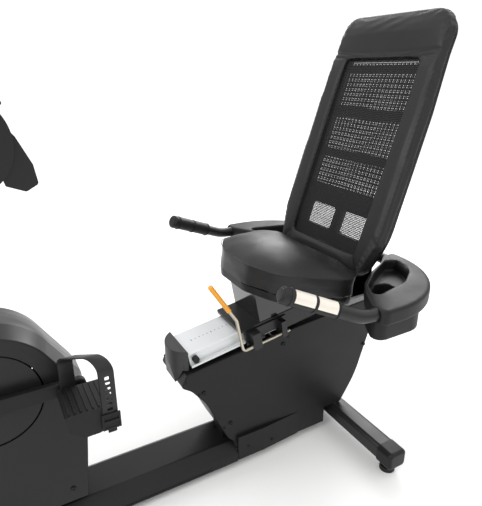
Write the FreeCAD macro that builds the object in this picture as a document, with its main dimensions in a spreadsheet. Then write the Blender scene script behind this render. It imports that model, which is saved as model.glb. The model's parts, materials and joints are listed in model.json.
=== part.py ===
"""Semi-recumbent exercise bike, built as the real one is: welded frame, moulded shells, drive, sliding seat, console.

Millimetres. +X points to the rear, +Z up, the rider faces -X, the floor is Z = 0 and the origin is the middle of
the footprint. Every driving size is a cell of the spreadsheet "Sizes"; the bodies are bound to those cells.
"""
import FreeCAD, Part
import math
import os
import Sketcher
from types import SimpleNamespace
from FreeCAD import Matrix, Placement, Rotation, Vector

SIZES = {
    # floor contact and base
    "rear_foot_x": 631.5, "front_foot_back": 1400, "crank_back": 970,
    "stabilizer_length": 566, "stabilizer_width": 60, "stabilizer_height": 50, "stabilizer_bottom": 30,
    "cap_length": 53, "cap_overhang": 2, "tube_wall": 2.5,
    "foot_radius": 22, "foot_pad": 14, "foot_inset": 300,
    "beam_width": 80, "beam_bottom": 32, "beam_height": 40, "beam_wall": 3,
    "cover_half_low": 84, "cover_half_top": 49, "cover_bottom": 23, "cover_top": 77, "shell_wall": 3,
    "cover_front_back": 900, "cover_rear_back": 380,
    "wheel_radius": 27, "wheel_width": 24,
    # crank and drive
    "crank_height": 448, "crank_throw": 178, "axle_radius": 10, "bearing_radius": 20, "bearing_width": 12,
    "bracket_radius": 26, "bracket_half": 45, "crank_inner": 96, "crank_thick": 15, "crank_wide": 34,
    "pulley_radius": 95, "pulley_width": 9, "pulley_offset": 56, "small_pulley_radius": 22, "belt_thick": 3,
    "flywheel_back": 1240, "flywheel_height": 330, "flywheel_radius": 130, "flywheel_width": 22,
    "idler_radius": 18, "fit": 0.05, "gap": 0.4,
    # front housing
    "dome_radius": 157, "housing_half": 84, "crown_half": 28, "housing_bottom": 104, "housing_taper": 10,
    "disc_radius": 108, "disc_gap": 3,
    # pedals
    "pedal_length": 100, "pedal_width": 100, "pedal_gap": 14, "spindle_radius": 7, "strap_width": 30,
    "strap_thick": 3, "strap_low": 85, "strap_high": 128, "strap_skew": 0.58,
    # rear fairing and rail
    "fairing_half": 74, "rail_front_back": 511, "rail_top": 407.3, "rail_slope": 9.6, "rail_length": 600,
    "rail_half": 55, "flange_half": 66, "rail_depth": 36, "flange_thick": 6, "rack_pitch": 12,
    # carriage and seat
    "plate_front": 150, "plate_length": 280, "plate_lift": 3, "plate_thick": 8, "roller_radius": 14,
    "plate_half": 72, "roller_front": 245, "roller_rear": 370, "riser_half": 70, "riser_front": 212,
    "riser_length": 190,
    "seat_back": 205, "seat_height": 555, "seat_tilt": 7.4, "seat_half": 218, "pan_thick": 18,
    "cushion_thick": 92,
    # backrest
    "recline": 18.8, "back_foot_x": 55.4, "back_height": 624.9, "back_half": 215, "head_half": 196,
    "back_top": 655, "pad_thick": 28, "mesh_half": 140, "mesh_top": 527,
    # handles and cup holders
    "tube_radius": 16, "handle_half": 350, "handle_height": 572, "handle_bend": 215, "handle_rear": 105,
    "grip_front_x": 388, "grip_front_y": 303.5, "grip_front_z": 651, "grip_length": 132, "grip_thick": 3,
    "holder_top": 590, "holder_deep": 37, "well_bottom": 498,
    # lock lever
    "lever_radius": 4.5, "lever_y": 88, "lever_drop": 40, "sleeve_radius": 6.5,
    # console, mast and front handlebar
    "console_back": 937, "console_height": 980, "drum_radius": 90, "drum_half": 150,
    "mast_radius": 30, "mast_foot_back": 1150, "mast_foot_height": 640, "hinge_drop": 112, "hinge_radius": 6,
    "bar_half": 235, "bar_radius": 14, "button_radius": 11,
}

doc = FreeCAD.newDocument("ExerciseBike")
sheet = doc.addObject("Spreadsheet::Sheet", "Sizes")
nodes = []


class Size:
    """A number together with the spreadsheet expression that gives it."""

    def __init__(self, value, text):
        self.value = float(value)
        self.text = text

    def __float__(self):
        return self.value

    def __neg__(self):
        return Size(-self.value, f"(0 - {self.text})")

    def __add__(self, other):
        return combine(self, other, "+", self.value + float(other))

    def __radd__(self, other):
        return combine(other, self, "+", float(other) + self.value)

    def __sub__(self, other):
        return combine(self, other, "-", self.value - float(other))

    def __rsub__(self, other):
        return combine(other, self, "-", float(other) - self.value)

    def __mul__(self, other):
        return combine(self, other, "*", self.value * float(other))

    def __rmul__(self, other):
        return combine(other, self, "*", float(other) * self.value)

    def __truediv__(self, other):
        return combine(self, other, "/", self.value / float(other))


def text_of(size):
    return size.text if isinstance(size, Size) else f"({float(size):.6f})"


def combine(left, right, sign, value):
    return Size(value, f"({text_of(left)} {sign} {text_of(right)})")


def cosine(angle):
    return Size(math.cos(math.radians(float(angle))), f"cos({text_of(angle)})")


def sine(angle):
    return Size(math.sin(math.radians(float(angle))), f"sin({text_of(angle)})")


def fill_sheet():
    """Writes the driving sizes into the spreadsheet and gives them back by name."""
    sizes = {}
    for row, (alias, number) in enumerate(SIZES.items(), start=1):
        sheet.set(f"A{row}", alias.replace("_", " "))
        sheet.set(f"B{row}", str(number))
        sheet.setAlias(f"B{row}", alias)
        sizes[alias] = Size(number, f"Sizes.{alias}")
    doc.recompute()
    return SimpleNamespace(**sizes)


S = fill_sheet()


def bind(thing, path, size):
    """Tie one property of an object to the spreadsheet."""
    thing.setExpression(path, text_of(size))


def place(thing, x=0.0, y=0.0, z=0.0, axis=None, angle=0.0):
    """Put an object at x, y, z, turned about an axis by an angle in degrees."""
    turn = Rotation(axis, float(angle)) if axis is not None else Rotation()
    thing.Placement = Placement(Vector(float(x), float(y), float(z)), turn)
    for name, size in (("x", x), ("y", y), ("z", z)):
        bind(thing, f"Placement.Base.{name}", size)
    return thing


def node(thing, label):
    """Name a finished sub-part: its label is its file name."""
    thing.Label = label
    nodes.append(thing)
    return thing


def box(name, x, y, z, length, width, height):
    """A block from its lowest corner."""
    block = doc.addObject("Part::Box", name)
    for path, size in (("Length", length), ("Width", width), ("Height", height)):
        bind(block, path, size)
    return place(block, x, y, z)


ALONG = {"X": (Vector(0, 1, 0), 90), "Y": (Vector(1, 0, 0), -90), "Z": (None, 0)}


def rod(name, x, y, z, radius, length, along="Y"):
    """A round bar from the middle of its low end, along X, Y or Z."""
    bar = doc.addObject("Part::Cylinder", name)
    bind(bar, "Radius", radius)
    bind(bar, "Height", length)
    return place(bar, x, y, z, *ALONG[along])


def cut(name, base, *tools):
    for number, tool in enumerate(tools):
        result = doc.addObject("Part::Cut", f"{name}_cut{number}")
        result.Base = base
        result.Tool = tool
        base = result
    return base


def fuse(name, *shapes):
    result = doc.addObject("Part::MultiFuse", f"{name}_fuse")
    result.Shapes = list(shapes)
    return result


def group(name, *shapes):
    result = doc.addObject("Part::Compound", f"{name}_group")
    result.Links = list(shapes)
    return result


def mirrored(name, source):
    """The same piece on the other side of the middle plane."""
    result = doc.addObject("Part::Mirroring", f"{name}_mirror")
    result.Source = source
    result.Base = Vector(0, 0, 0)
    result.Normal = Vector(0, 1, 0)
    return result


def fixed_point(sketch, geometry, position, x, y):
    for kind, size in (("DistanceX", x), ("DistanceY", y)):
        index = sketch.addConstraint(Sketcher.Constraint(kind, -1, 1, geometry, position, float(size)))
        bind(sketch, f"Constraints[{index}]", size)


def outline(sketch, corners):
    """A closed outline of straight sides. A corner is (x, y) or, when rounded, (x, y, radius)."""
    count = len(corners)
    points = [Vector(float(c[0]), float(c[1]), 0) for c in corners]
    into, out = [], []
    for i, corner in enumerate(corners):
        before = (points[i] - points[i - 1]).normalize()
        after = (points[(i + 1) % count] - points[i]).normalize()
        reach = 0.0
        if len(corner) > 2:
            reach = float(corner[2]) * math.tan(before.getAngle(after) / 2)
        into.append(points[i] - before * reach)
        out.append(points[i] + after * reach)
    sides = []
    for i in range(count):
        sides.append(sketch.addGeometry(Part.LineSegment(out[i], into[(i + 1) % count])))
    for i, corner in enumerate(corners):
        side_in, side_out = sides[i - 1], sides[i]
        if len(corner) == 2:
            sketch.addConstraint(Sketcher.Constraint("Coincident", side_in, 2, side_out, 1))
            fixed_point(sketch, side_out, 1, corner[0], corner[1])
            continue
        before, after = points[i] - points[i - 1], points[(i + 1) % count] - points[i]
        left_turn = before.cross(after).z > 0
        normal = Vector(-before.y, before.x, 0).normalize() * (1 if left_turn else -1)
        centre = into[i] + normal * float(corner[2])
        middle = centre + (points[i] - centre).normalize() * float(corner[2])
        arc = sketch.addGeometry(Part.Arc(into[i], middle, out[i]))
        start, end = (1, 2) if left_turn else (2, 1)
        sketch.addConstraint(Sketcher.Constraint("Tangent", side_in, 2, arc, start))
        sketch.addConstraint(Sketcher.Constraint("Tangent", arc, end, side_out, 1))
        index = sketch.addConstraint(Sketcher.Constraint("Radius", arc, float(corner[2])))
        bind(sketch, f"Constraints[{index}]", corner[2])
        tip = sketch.addGeometry(Part.Point(points[i]), True)
        sketch.addConstraint(Sketcher.Constraint("PointOnObject", tip, 1, side_in))
        sketch.addConstraint(Sketcher.Constraint("PointOnObject", tip, 1, side_out))
        fixed_point(sketch, tip, 1, corner[0], corner[1])


def circle(sketch, x, y, radius):
    ring = sketch.addGeometry(Part.Circle(Vector(float(x), float(y), 0), Vector(0, 0, 1), float(radius)))
    fixed_point(sketch, ring, 3, x, y)
    index = sketch.addConstraint(Sketcher.Constraint("Radius", ring, float(radius)))
    bind(sketch, f"Constraints[{index}]", radius)


def draw(body, role, offset, loops):
    """A sketch on one of the body's own planes, with outlines and circles ("circle", x, y, radius)."""
    plane = next(f for f in body.Origin.OriginFeatures if f.Role == role)
    sketch = body.newObject("Sketcher::SketchObject", f"{body.Name}_sketch")
    sketch.AttachmentSupport = [(plane, "")]
    sketch.MapMode = "FlatFace"
    bind(sketch, "AttachmentOffset.Base.z", offset)
    for loop in loops:
        if loop[0] == "circle":
            circle(sketch, *loop[1:])
        else:
            outline(sketch, loop)
    doc.recompute()
    return sketch


def start_body(name):
    return doc.addObject("PartDesign::Body", name)


def pad(body, role, offset, length, *loops, taper=0.0):
    """Adds material: XZ_Plane runs towards -Y from Y = -offset, XY_Plane upwards, YZ_Plane towards +X."""
    feature = body.newObject("PartDesign::Pad", f"{body.Name}_pad")
    feature.Profile = draw(body, role, offset, loops)
    bind(feature, "Length", length)
    if taper:
        bind(feature, "TaperAngle", taper)
    body.Tip = feature
    doc.recompute()
    return feature


def pocket(body, role, offset, length, *loops, taper=0.0):
    """Removes material over the same stretch that a pad with these values would fill."""
    before = body.Shape.Volume
    feature = body.newObject("PartDesign::Pocket", f"{body.Name}_pocket")
    feature.Profile = draw(body, role, offset, loops)
    bind(feature, "Length", length)
    if taper:
        bind(feature, "TaperAngle", taper)
    feature.Reversed = True
    body.Tip = feature
    doc.recompute()
    if body.Shape.Volume >= before:
        raise RuntimeError(f"{feature.Name} removes nothing")
    return feature


def round_edges(body, radius, chosen):
    """Fillets the body's edges for which chosen(edge) is true."""
    base = body.Tip
    names = [f"Edge{i}" for i, edge in enumerate(base.Shape.Edges, start=1) if chosen(edge)]
    feature = body.newObject("PartDesign::Fillet", f"{body.Name}_fillet")
    feature.Base = (base, names)
    bind(feature, "Radius", radius)
    body.Tip = feature
    doc.recompute()


def inset(corners, wall):
    """The outline that lies a wall's thickness inside another, with its radii to match."""
    count = len(corners)
    points = [Vector(float(c[0]), float(c[1]), 0) for c in corners]
    area = sum(points[i - 1].cross(points[i]).z for i in range(count))
    inward = 1 if area > 0 else -1
    inner = []
    for i, corner in enumerate(corners):
        before = (points[i] - points[i - 1]).normalize()
        after = (points[(i + 1) % count] - points[i]).normalize()
        normals = [Vector(-d.y, d.x, 0) * inward for d in (before, after)]
        shift = (normals[0] + normals[1]) * (1 / (1 + normals[0].dot(normals[1])))
        moved = (corner[0] + wall * shift.x, corner[1] + wall * shift.y)
        if len(corner) > 2:
            convex = before.cross(after).z * inward > 0
            radius = corner[2] - wall if convex else corner[2] + wall
            moved += (radius,) if float(radius) > 0.5 else ()
        inner.append(moved)
    return inner


def at_y(level):
    """Picks flat faces or edges that lie wholly in the plane Y = level."""
    def test(item):
        bounds = item.BoundBox
        return abs(bounds.YMin - float(level)) < 1e-3 and abs(bounds.YMax - float(level)) < 1e-3
    return test


def at_z(level):
    def test(item):
        bounds = item.BoundBox
        return abs(bounds.ZMin - float(level)) < 1e-3 and abs(bounds.ZMax - float(level)) < 1e-3
    return test


def back(distance):
    """X of a station given by its distance in front of the rear foot."""
    return S.rear_foot_x - distance


def shaped(name, shape):
    """A piece whose shape is worked out in code."""
    thing = doc.addObject("Part::Feature", name)
    thing.Shape = shape
    return thing


def point(x, y, z):
    return Vector(float(x), float(y), float(z))


def bent_path(points, radius):
    """A wire of straight runs joined by tangent arcs at its inner points."""
    edges = []
    start = points[0]
    for i in range(1, len(points) - 1):
        here = points[i]
        before = (here - points[i - 1]).normalize()
        after = (points[i + 1] - here).normalize()
        half = before.getAngle(after) / 2
        reach = radius * math.tan(half)
        first, last = here - before * reach, here + after * reach
        inward = (after - before).normalize()
        middle = here + inward * (radius / math.cos(half) - radius)
        edges.append(Part.LineSegment(start, first).toShape())
        edges.append(Part.Arc(first, middle, last).toShape())
        start = last
    edges.append(Part.LineSegment(start, points[-1]).toShape())
    return Part.Wire(edges)


def swept(path, radius, bore=0.0):
    """A round tube or rod along a path."""
    first = path.OrderedEdges[0]
    origin = first.valueAt(first.FirstParameter)
    heading = first.tangentAt(first.FirstParameter)
    solids = []
    for size in (radius, bore):
        if size:
            ring = Part.Wire([Part.makeCircle(size, origin, heading)])
            solids.append(path.makePipeShell([ring], True, True))
    return solids[0] if len(solids) == 1 else solids[0].cut(solids[1])


# ---------------------------------------------------------------- stations used by several sub-parts

CRANK_X = back(S.crank_back)
FLYWHEEL_X = back(S.flywheel_back)
FRONT_FOOT_X = back(S.front_foot_back)
RAIL_X = back(S.rail_front_back)
DRUM_X = back(S.console_back)
MAST_X = back(S.mast_foot_back)


def rail_place(body):
    """Lays a body drawn along +X onto the top of the inclined seat rail."""
    return place(body, RAIL_X, 0, S.rail_top, Vector(0, 1, 0), -S.rail_slope)


def back_place(body):
    """Stands a body drawn upright onto the reclined plane of the backrest."""
    return place(body, S.rear_foot_x - S.back_foot_x, 0, S.back_height, Vector(0, 1, 0), S.recline)


def seat_place(body):
    """Lays a body drawn flat onto the tilted plane of the seat pan."""
    return place(body, back(S.seat_back), 0, S.seat_height, Vector(0, 1, 0), S.seat_tilt)


# ---------------------------------------------------------------- base

def stabilizer(label, x):
    """A rounded steel tube across the bike."""
    half = S.stabilizer_width / 2
    low, high = S.stabilizer_bottom, S.stabilizer_bottom + S.stabilizer_height
    wall = S.tube_wall
    outer = [(x - half, low, 12), (x + half, low, 12), (x + half, high, 12), (x - half, high, 12)]
    inner = [(x - half + wall, low + wall, 9), (x + half - wall, low + wall, 9),
             (x + half - wall, high - wall, 9), (x - half + wall, high - wall, 9)]
    body = start_body(label)
    pad(body, "XZ_Plane", -S.stabilizer_length / 2, S.stabilizer_length, outer, inner)
    node(body, label)


def end_cap(name, x, wheel_side):
    """A moulded cap with a rounded tip, slightly larger than the tube it closes."""
    half = S.stabilizer_width / 2 + S.cap_overhang
    low = S.stabilizer_bottom - S.cap_overhang * 2
    high = S.stabilizer_bottom + S.stabilizer_height + S.cap_overhang
    body = start_body(name)
    tip = S.stabilizer_length / 2
    pad(body, "XZ_Plane", tip, S.cap_length,
        [(x - half, low, 14), (x + half, low, 14), (x + half, high, 14), (x - half, high, 14)])
    round_edges(body, S.cap_overhang * 5, at_y(-float(tip) - float(S.cap_length)))
    if wheel_side:
        slot_half = S.wheel_width / 2 + 2
        pocket(body, "XZ_Plane", tip + S.cap_length / 2 - slot_half, slot_half * 2,
               [(x - half - 1, low - 1), (x - half + 32, low - 1), (x - half + 32, high + 1), (x - half - 1, high + 1)])
    return body


def levelling_foot(name, x, side):
    """A rubber pad on a threaded stem."""
    y = S.foot_inset * side
    pad_disc = rod(f"{name}_pad", x, y, 0, S.foot_radius, S.foot_pad, "Z")
    stem = rod(f"{name}_stem", x, y, S.foot_pad, 5, S.stabilizer_bottom - S.cap_overhang * 2 - S.foot_pad, "Z")
    return fuse(name, pad_disc, stem)


def build_base():
    stabilizer("rear_stabilizer", S.rear_foot_x)
    stabilizer("front_stabilizer", FRONT_FOOT_X)
    caps = []
    for place_name, x, wheeled in (("rear", S.rear_foot_x, False), ("front", FRONT_FOOT_X, True)):
        cap = end_cap(f"{place_name}_cap", x, wheeled)
        caps += [cap, mirrored(f"{place_name}_cap", cap)]
    node(group("caps", *caps), "stabilizer_end_caps")
    feet = []
    for place_name, x in (("rear", S.rear_foot_x), ("front", FRONT_FOOT_X + 10)):
        for side in (-1, 1):
            feet.append(levelling_foot(f"{place_name}_foot{side + 1}", x, side))
    node(group("feet", *feet), "levelling_feet")
    half, wall = S.beam_width / 2, S.beam_wall
    low, high = S.beam_bottom, S.beam_bottom + S.beam_height
    beam = start_body("base_beam")
    reach = S.stabilizer_width / 2
    pad(beam, "YZ_Plane", FRONT_FOOT_X + reach, S.front_foot_back - S.stabilizer_width,
        [(-half, low), (half, low), (half, high), (-half, high)],
        [(-half + wall, low + wall), (half - wall, low + wall), (half - wall, high - wall), (-half + wall, high - wall)])
    node(beam, "base_beam")


def transport_wheel(label, side):
    """A small wheel on its pin in the slot of the front cap."""
    middle = (S.stabilizer_length / 2 + S.cap_length / 2) * side
    x = FRONT_FOOT_X - S.stabilizer_width / 2
    tyre = rod(f"{label}_tyre", x, middle - S.wheel_width / 2, S.wheel_radius + 14, S.wheel_radius, S.wheel_width)
    pin = rod(f"{label}_pin", x, middle - S.wheel_width / 2 - 1.5, S.wheel_radius + 14, 5, S.wheel_width + 3)
    node(fuse(label, tyre, pin), label)


def beam_cover():
    """The plastic cover along the beam: sloping sides with a long recess, open underneath."""
    low, top = S.cover_bottom, S.cover_top
    wide, slim, wall = S.cover_half_low, S.cover_half_top, S.shell_wall
    shoulder = low + 26
    body = start_body("beam_cover")
    pad(body, "YZ_Plane", back(S.cover_front_back), S.cover_front_back - S.cover_rear_back,
        [(-wide, low), (-wide, shoulder, 4), (-slim, top, 8), (slim, top, 8), (wide, shoulder, 4), (wide, low),
         (wide - wall, low), (wide - wall, shoulder - 1.2, 3), (slim - 1.5, top - wall, 6),
         (1.5 - slim, top - wall, 6), (wall - wide, shoulder - 1.2, 3), (wall - wide, low)])
    for side in (-1, 1):
        start = wide - 1.2 if side < 0 else -wide - 1
        pocket(body, "XZ_Plane", start, 2.2,
               [(back(880), low + 6, 5), (back(466), low + 6, 9.5), (back(466), low + 25.5, 9.5), (back(880), low + 25.5, 5)])
    pocket(body, "XY_Plane", top - 8, 16, [(back(405), -28), (back(370), -28), (back(370), 28), (back(405), 28)])
    node(body, "beam_cover")


# ---------------------------------------------------------------- rear fairing, post and rail

def fairing_corners():
    """Side outline of the rear fairing, as stations in front of the rear foot and heights."""
    return [(back(407), 110), (back(442), 185, 60), (back(470), 250, 160), (back(512), 305, 60),
            (back(540), 325, 10), (back(524), 358, 4), (back(182), 409, 30), (back(-108), 436, 12),
            (back(-112), 338, 200), (back(-60), 167, 300), (back(-8), 84, 40), (back(44), 26), (back(330), 26)]


def fairing_half(name):
    """One moulded half of the rear fairing, with the skirt that meets the beam cover."""
    half = S.fairing_half
    body = start_body(name)
    pad(body, "XZ_Plane", 0, half, fairing_corners())
    round_edges(body, 4, at_y(-float(half)))
    pocket(body, "XZ_Plane", -1, half - S.shell_wall + 1, inset(fairing_corners(), S.shell_wall))
    skirt = S.cover_half_low
    pad(body, "XY_Plane", 26, 80,
        [(back(379), -half + 1), (back(379), -skirt, 3), (back(290), -skirt, 40), (back(160), -half),
         (back(160), -half + 1)])
    pocket(body, "XY_Plane", 350, 120,
           [(back(440), -S.beam_width / 2 + 8), (back(200), -S.beam_width / 2 + 8), (back(200), 1), (back(440), 1)])
    pocket(body, "YZ_Plane", back(460), 500,
           [(-S.cover_half_low - 6, 20), (0.5, 20), (0.5, 110), (-S.beam_width / 2 - 1, 110),
            (-S.beam_width / 2 - 1, 25.5), (-S.cover_half_low - 6, 25.5)])
    pocket(body, "YZ_Plane", back(60), 200,
           [(-S.cover_half_low - 6, 20), (0.5, 20), (0.5, 84), (-S.cover_half_low - 6, 84)])
    return body


def build_fairing():
    left = fairing_half("fairing_half_left")
    node(left, "fairing_left")
    node(mirrored("fairing_half_right", left), "fairing_right")
    nose = start_body("nose")
    pad(nose, "XZ_Plane", -60, 120,
        [(back(512.5), 420, 4), (back(552), 416, 8), (back(553), 399, 30), (back(541), 322), (back(540.6), 322),
         (back(526), 363), (back(512.5), 363)])
    plan = rod("nose_plan", back(479), 0, 300, 70, 140, "Z")
    common = doc.addObject("Part::MultiCommon", "nose_common")
    common.Shapes = [nose, plan]
    node(common, "fairing_nose")


def screw_group():
    """The button-head screws that hold the fairing and the beam cover."""
    places = [(528, 340), (492, 288), (418, 150), (345, 62), (262, 50), (210, 385), (12, 400)]
    screws = []
    for number, (distance, height) in enumerate(places):
        side = S.cover_half_low if height < 100 else S.fairing_half
        screw = rod(f"screw{number}", back(distance), -side - 1.2, height, 4, 1.0)
        screws += [screw, mirrored(f"screw{number}", screw)]
    node(group("screws", *screws), "cover_screws")


def build_rail():
    half, flange, deep, lip = S.rail_half, S.flange_half, S.rail_depth, S.flange_thick
    rail = start_body("seat_rail")
    pad(rail, "YZ_Plane", 0, S.rail_length,
        [(-half, 0, 3), (-half, lip - deep), (-flange, lip - deep), (-flange, -deep), (lip - half, -deep),
         (lip - half, -lip), (half - lip, -lip), (half - lip, -deep), (flange, -deep), (flange, lip - deep),
         (half, lip - deep), (half, 0, 3)])
    node(rail_place(rail), "seat_rail")
    rack = start_body("lock_rack")
    outer, thick = S.rail_half + 3, 5
    pad(rack, "YZ_Plane", 20, S.rail_length - 40,
        [(-outer, -deep - thick), (-outer + 8, -deep - thick), (-outer + 8, -deep), (-outer, -deep)])
    notch = pocket(rack, "XY_Plane", -deep - thick - 1, thick + 2,
                   [(30, -outer - 1), (35, -outer - 1), (35, -outer + 4), (30, -outer + 4)])
    pattern = rack.newObject("PartDesign::LinearPattern", "rack_notches")
    pattern.Originals = [notch]
    pattern.Direction = (next(f for f in rack.Origin.OriginFeatures if f.Role == "X_Axis"), [""])
    pattern.Occurrences = int((float(S.rail_length) - 70) / float(S.rack_pitch)) + 1
    bind(pattern, "Length", S.rack_pitch * (pattern.Occurrences - 1))
    rack.Tip = pattern
    node(rail_place(rack), "lock_rack")
    stops = []
    for name, station in (("front", 16), ("rear", S.rail_length - 12)):
        for side in (-1, 1):
            stop = start_body(f"{name}_stop{side + 1}")
            near_face = S.rail_half if side < 0 else -S.rail_half - 11
            pad(stop, "XZ_Plane", near_face, 11, ("circle", station, -18, 9))
            stops.append(rail_place(stop))
    node(group("stops", *stops), "rail_stops")


def seat_post():
    """Two welded box posts from the beam up to the underside of the rail."""
    base = S.beam_bottom + S.beam_height
    slope = sine(S.rail_slope) / cosine(S.rail_slope)
    posts = []
    for number, distance in enumerate((400, 270)):
        under_rail = S.rail_top + slope * (S.rail_front_back - distance) - S.flange_thick / cosine(S.rail_slope)
        body = start_body(f"post{number}")
        x, rise = back(distance), slope * 50
        pad(body, "XZ_Plane", -25, 50, [(x, base), (x + 50, base), (x + 50, under_rail + rise), (x, under_rail)])
        posts.append(body)
    node(fuse("seat_post", *posts), "seat_post_frame")


# ---------------------------------------------------------------- front housing

def housing_corners():
    """Side outline of the front housing at the crown, with the round dome over the crank."""
    dome = S.dome_radius
    top = S.crank_height + dome
    return [(back(793), S.housing_bottom, 14), (back(773), 300, 300), (back(771), 430, 30),
            (CRANK_X + dome * 0.554, top, dome), (CRANK_X - 60, top, 40), (back(1100), 690, 30),
            (back(1215), 690, 40), (back(1330), 560, 120), (back(1442), 330, 150), (back(1442), S.housing_bottom, 25)]


def mast_end(distance):
    """A point on the line from the mast's foot to the drum, at a distance below the drum's middle."""
    run, rise = DRUM_X - MAST_X, S.console_height - S.mast_foot_height
    length = math.hypot(float(run), float(rise))
    share = float(distance) / length
    return point(float(DRUM_X) - float(run) * share, 0, float(S.console_height) - float(rise) * share)


def mast_core(name, radius, start, length):
    """A round bar on the mast's axis, from a distance above its foot."""
    foot = point(MAST_X, 0, S.mast_foot_height)
    heading = (mast_end(0) - foot).normalize()
    return shaped(name, Part.makeCylinder(float(radius), float(length), foot + heading * float(start), heading))


def housing_side(name):
    half, crown = S.housing_half, S.crown_half
    body = start_body(name)
    corners, wall = housing_corners(), S.shell_wall
    pad(body, "XZ_Plane", crown, half - crown, corners, taper=-S.housing_taper)
    round_edges(body, 4, at_y(-float(half)))
    pocket(body, "XZ_Plane", crown, half - crown - wall, inset(corners, wall), taper=-S.housing_taper)
    pocket(body, "XZ_Plane", half - 10, 20, ("circle", CRANK_X, S.crank_height, S.disc_radius + S.disc_gap))
    return body


def build_housing():
    left = housing_side("housing_side_left")
    right = mirrored("housing_side_right", left)
    crown = start_body("crown")
    pad(crown, "XZ_Plane", -S.crown_half, S.crown_half * 2, housing_corners())
    pocket(crown, "XZ_Plane", -S.crown_half - 1, S.crown_half * 2 + 2, inset(housing_corners(), S.shell_wall))
    for distance in (S.crank_back, S.flywheel_back):
        pocket(crown, "XY_Plane", S.housing_bottom - 2, S.shell_wall + 4,
               [(back(distance) - 26, -26), (back(distance) + 26, -26), (back(distance) + 26, 26),
                (back(distance) - 26, 26)])
    for piece, label in ((left, "housing_left"), (right, "housing_right"), (crown, "housing_crown")):
        node(cut(label, piece, mast_core(f"{label}_mast_hole", S.mast_radius + 1, 20, 120)), label)


# ---------------------------------------------------------------- drive

def belt_line():
    """Unit vector square to the belt's upper run, and the two points where that run leaves the pulleys."""
    crank = point(CRANK_X, 0, S.crank_height)
    small = point(FLYWHEEL_X, 0, S.flywheel_height)
    along = crank - small
    distance = along.Length
    lean = math.acos((float(S.small_pulley_radius) - float(S.pulley_radius)) / distance)
    unit = along.normalize()
    upper = Rotation(Vector(0, 1, 0), -math.degrees(lean)).multVec(unit)
    lower = Rotation(Vector(0, 1, 0), math.degrees(lean)).multVec(unit)
    return crank, small, upper, lower


def belt_loop(extra):
    """The closed path round both pulleys, at a distance outside their rims."""
    crank, small, upper, lower = belt_line()
    unit = (crank - small).normalize()
    big, little = float(S.pulley_radius) + extra, float(S.small_pulley_radius) + extra
    edges = [Part.Arc(crank + lower * big, crank + unit * big, crank + upper * big).toShape(),
             Part.LineSegment(crank + upper * big, small + upper * little).toShape(),
             Part.Arc(small + upper * little, small - unit * little, small + lower * little).toShape(),
             Part.LineSegment(small + lower * little, crank + lower * big).toShape()]
    return Part.Wire(edges)


def idler_centre():
    crank, small, upper, _ = belt_line()
    middle = (crank + upper * float(S.pulley_radius) + small + upper * float(S.small_pulley_radius)) * 0.5
    return middle - upper * float(S.idler_radius + S.gap)


def build_drive_frame():
    deck_low, deck_thick, plate = S.housing_bottom + 16, 6, 6
    column = 25
    base = S.beam_bottom + S.beam_height
    axis = S.crank_height
    idler = idler_centre()
    left_plate = -S.pulley_offset - S.pulley_width - 8
    right_plate = S.flywheel_width / 2 + 6
    parts = [
        box("crank_column", CRANK_X - column, -column, base, column * 2, column * 2, axis - base),
        box("front_column", FLYWHEEL_X - column, -column, base, column * 2, column * 2, deck_low - base + 1),
        box("deck", FLYWHEEL_X - 60, left_plate, deck_low, S.flywheel_back - S.crank_back + 85,
            right_plate + plate - left_plate, deck_thick),
        rod("bracket_shell", CRANK_X, -S.bracket_half, axis, S.bracket_radius, S.bracket_half * 2),
    ]
    for name, y in (("left", left_plate), ("right", right_plate)):
        parts.append(box(f"fork_{name}", FLYWHEEL_X - 20, y, deck_low, 40, plate, S.flywheel_height + 20 - deck_low))
    parts.append(box("idler_post", idler.x - 12, left_plate, deck_low, 24, plate, idler.z + 14 - float(deck_low)))
    parts.append(rod("idler_pin", idler.x, left_plate, idler.z, 5, S.pulley_width + 15))
    diagonal = bent_path([point(CRANK_X, 0, axis), point(MAST_X, 0, S.mast_foot_height - 14)], 1)
    parts.append(shaped("frame_diagonal", swept(diagonal, 20)))
    parts.append(mast_core("mast_socket", S.mast_radius + 4, -52, 76))
    welded = fuse("drive_frame", *parts)
    bores = [
        rod("bracket_bore", CRANK_X, -S.bracket_half - 1, axis, S.bearing_radius, S.bracket_half * 2 + 2),
        mast_core("socket_bore", S.mast_radius, 0, 60),
        rod("fork_bore", FLYWHEEL_X, left_plate - 1, S.flywheel_height, 8.5, right_plate + plate - left_plate + 2),
    ]
    node(cut("drive_frame", welded, *bores), "drive_frame")
    node(rod("flywheel_axle", FLYWHEEL_X, left_plate, S.flywheel_height, 8.5, right_plate + plate - left_plate),
         "flywheel_axle")


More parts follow.
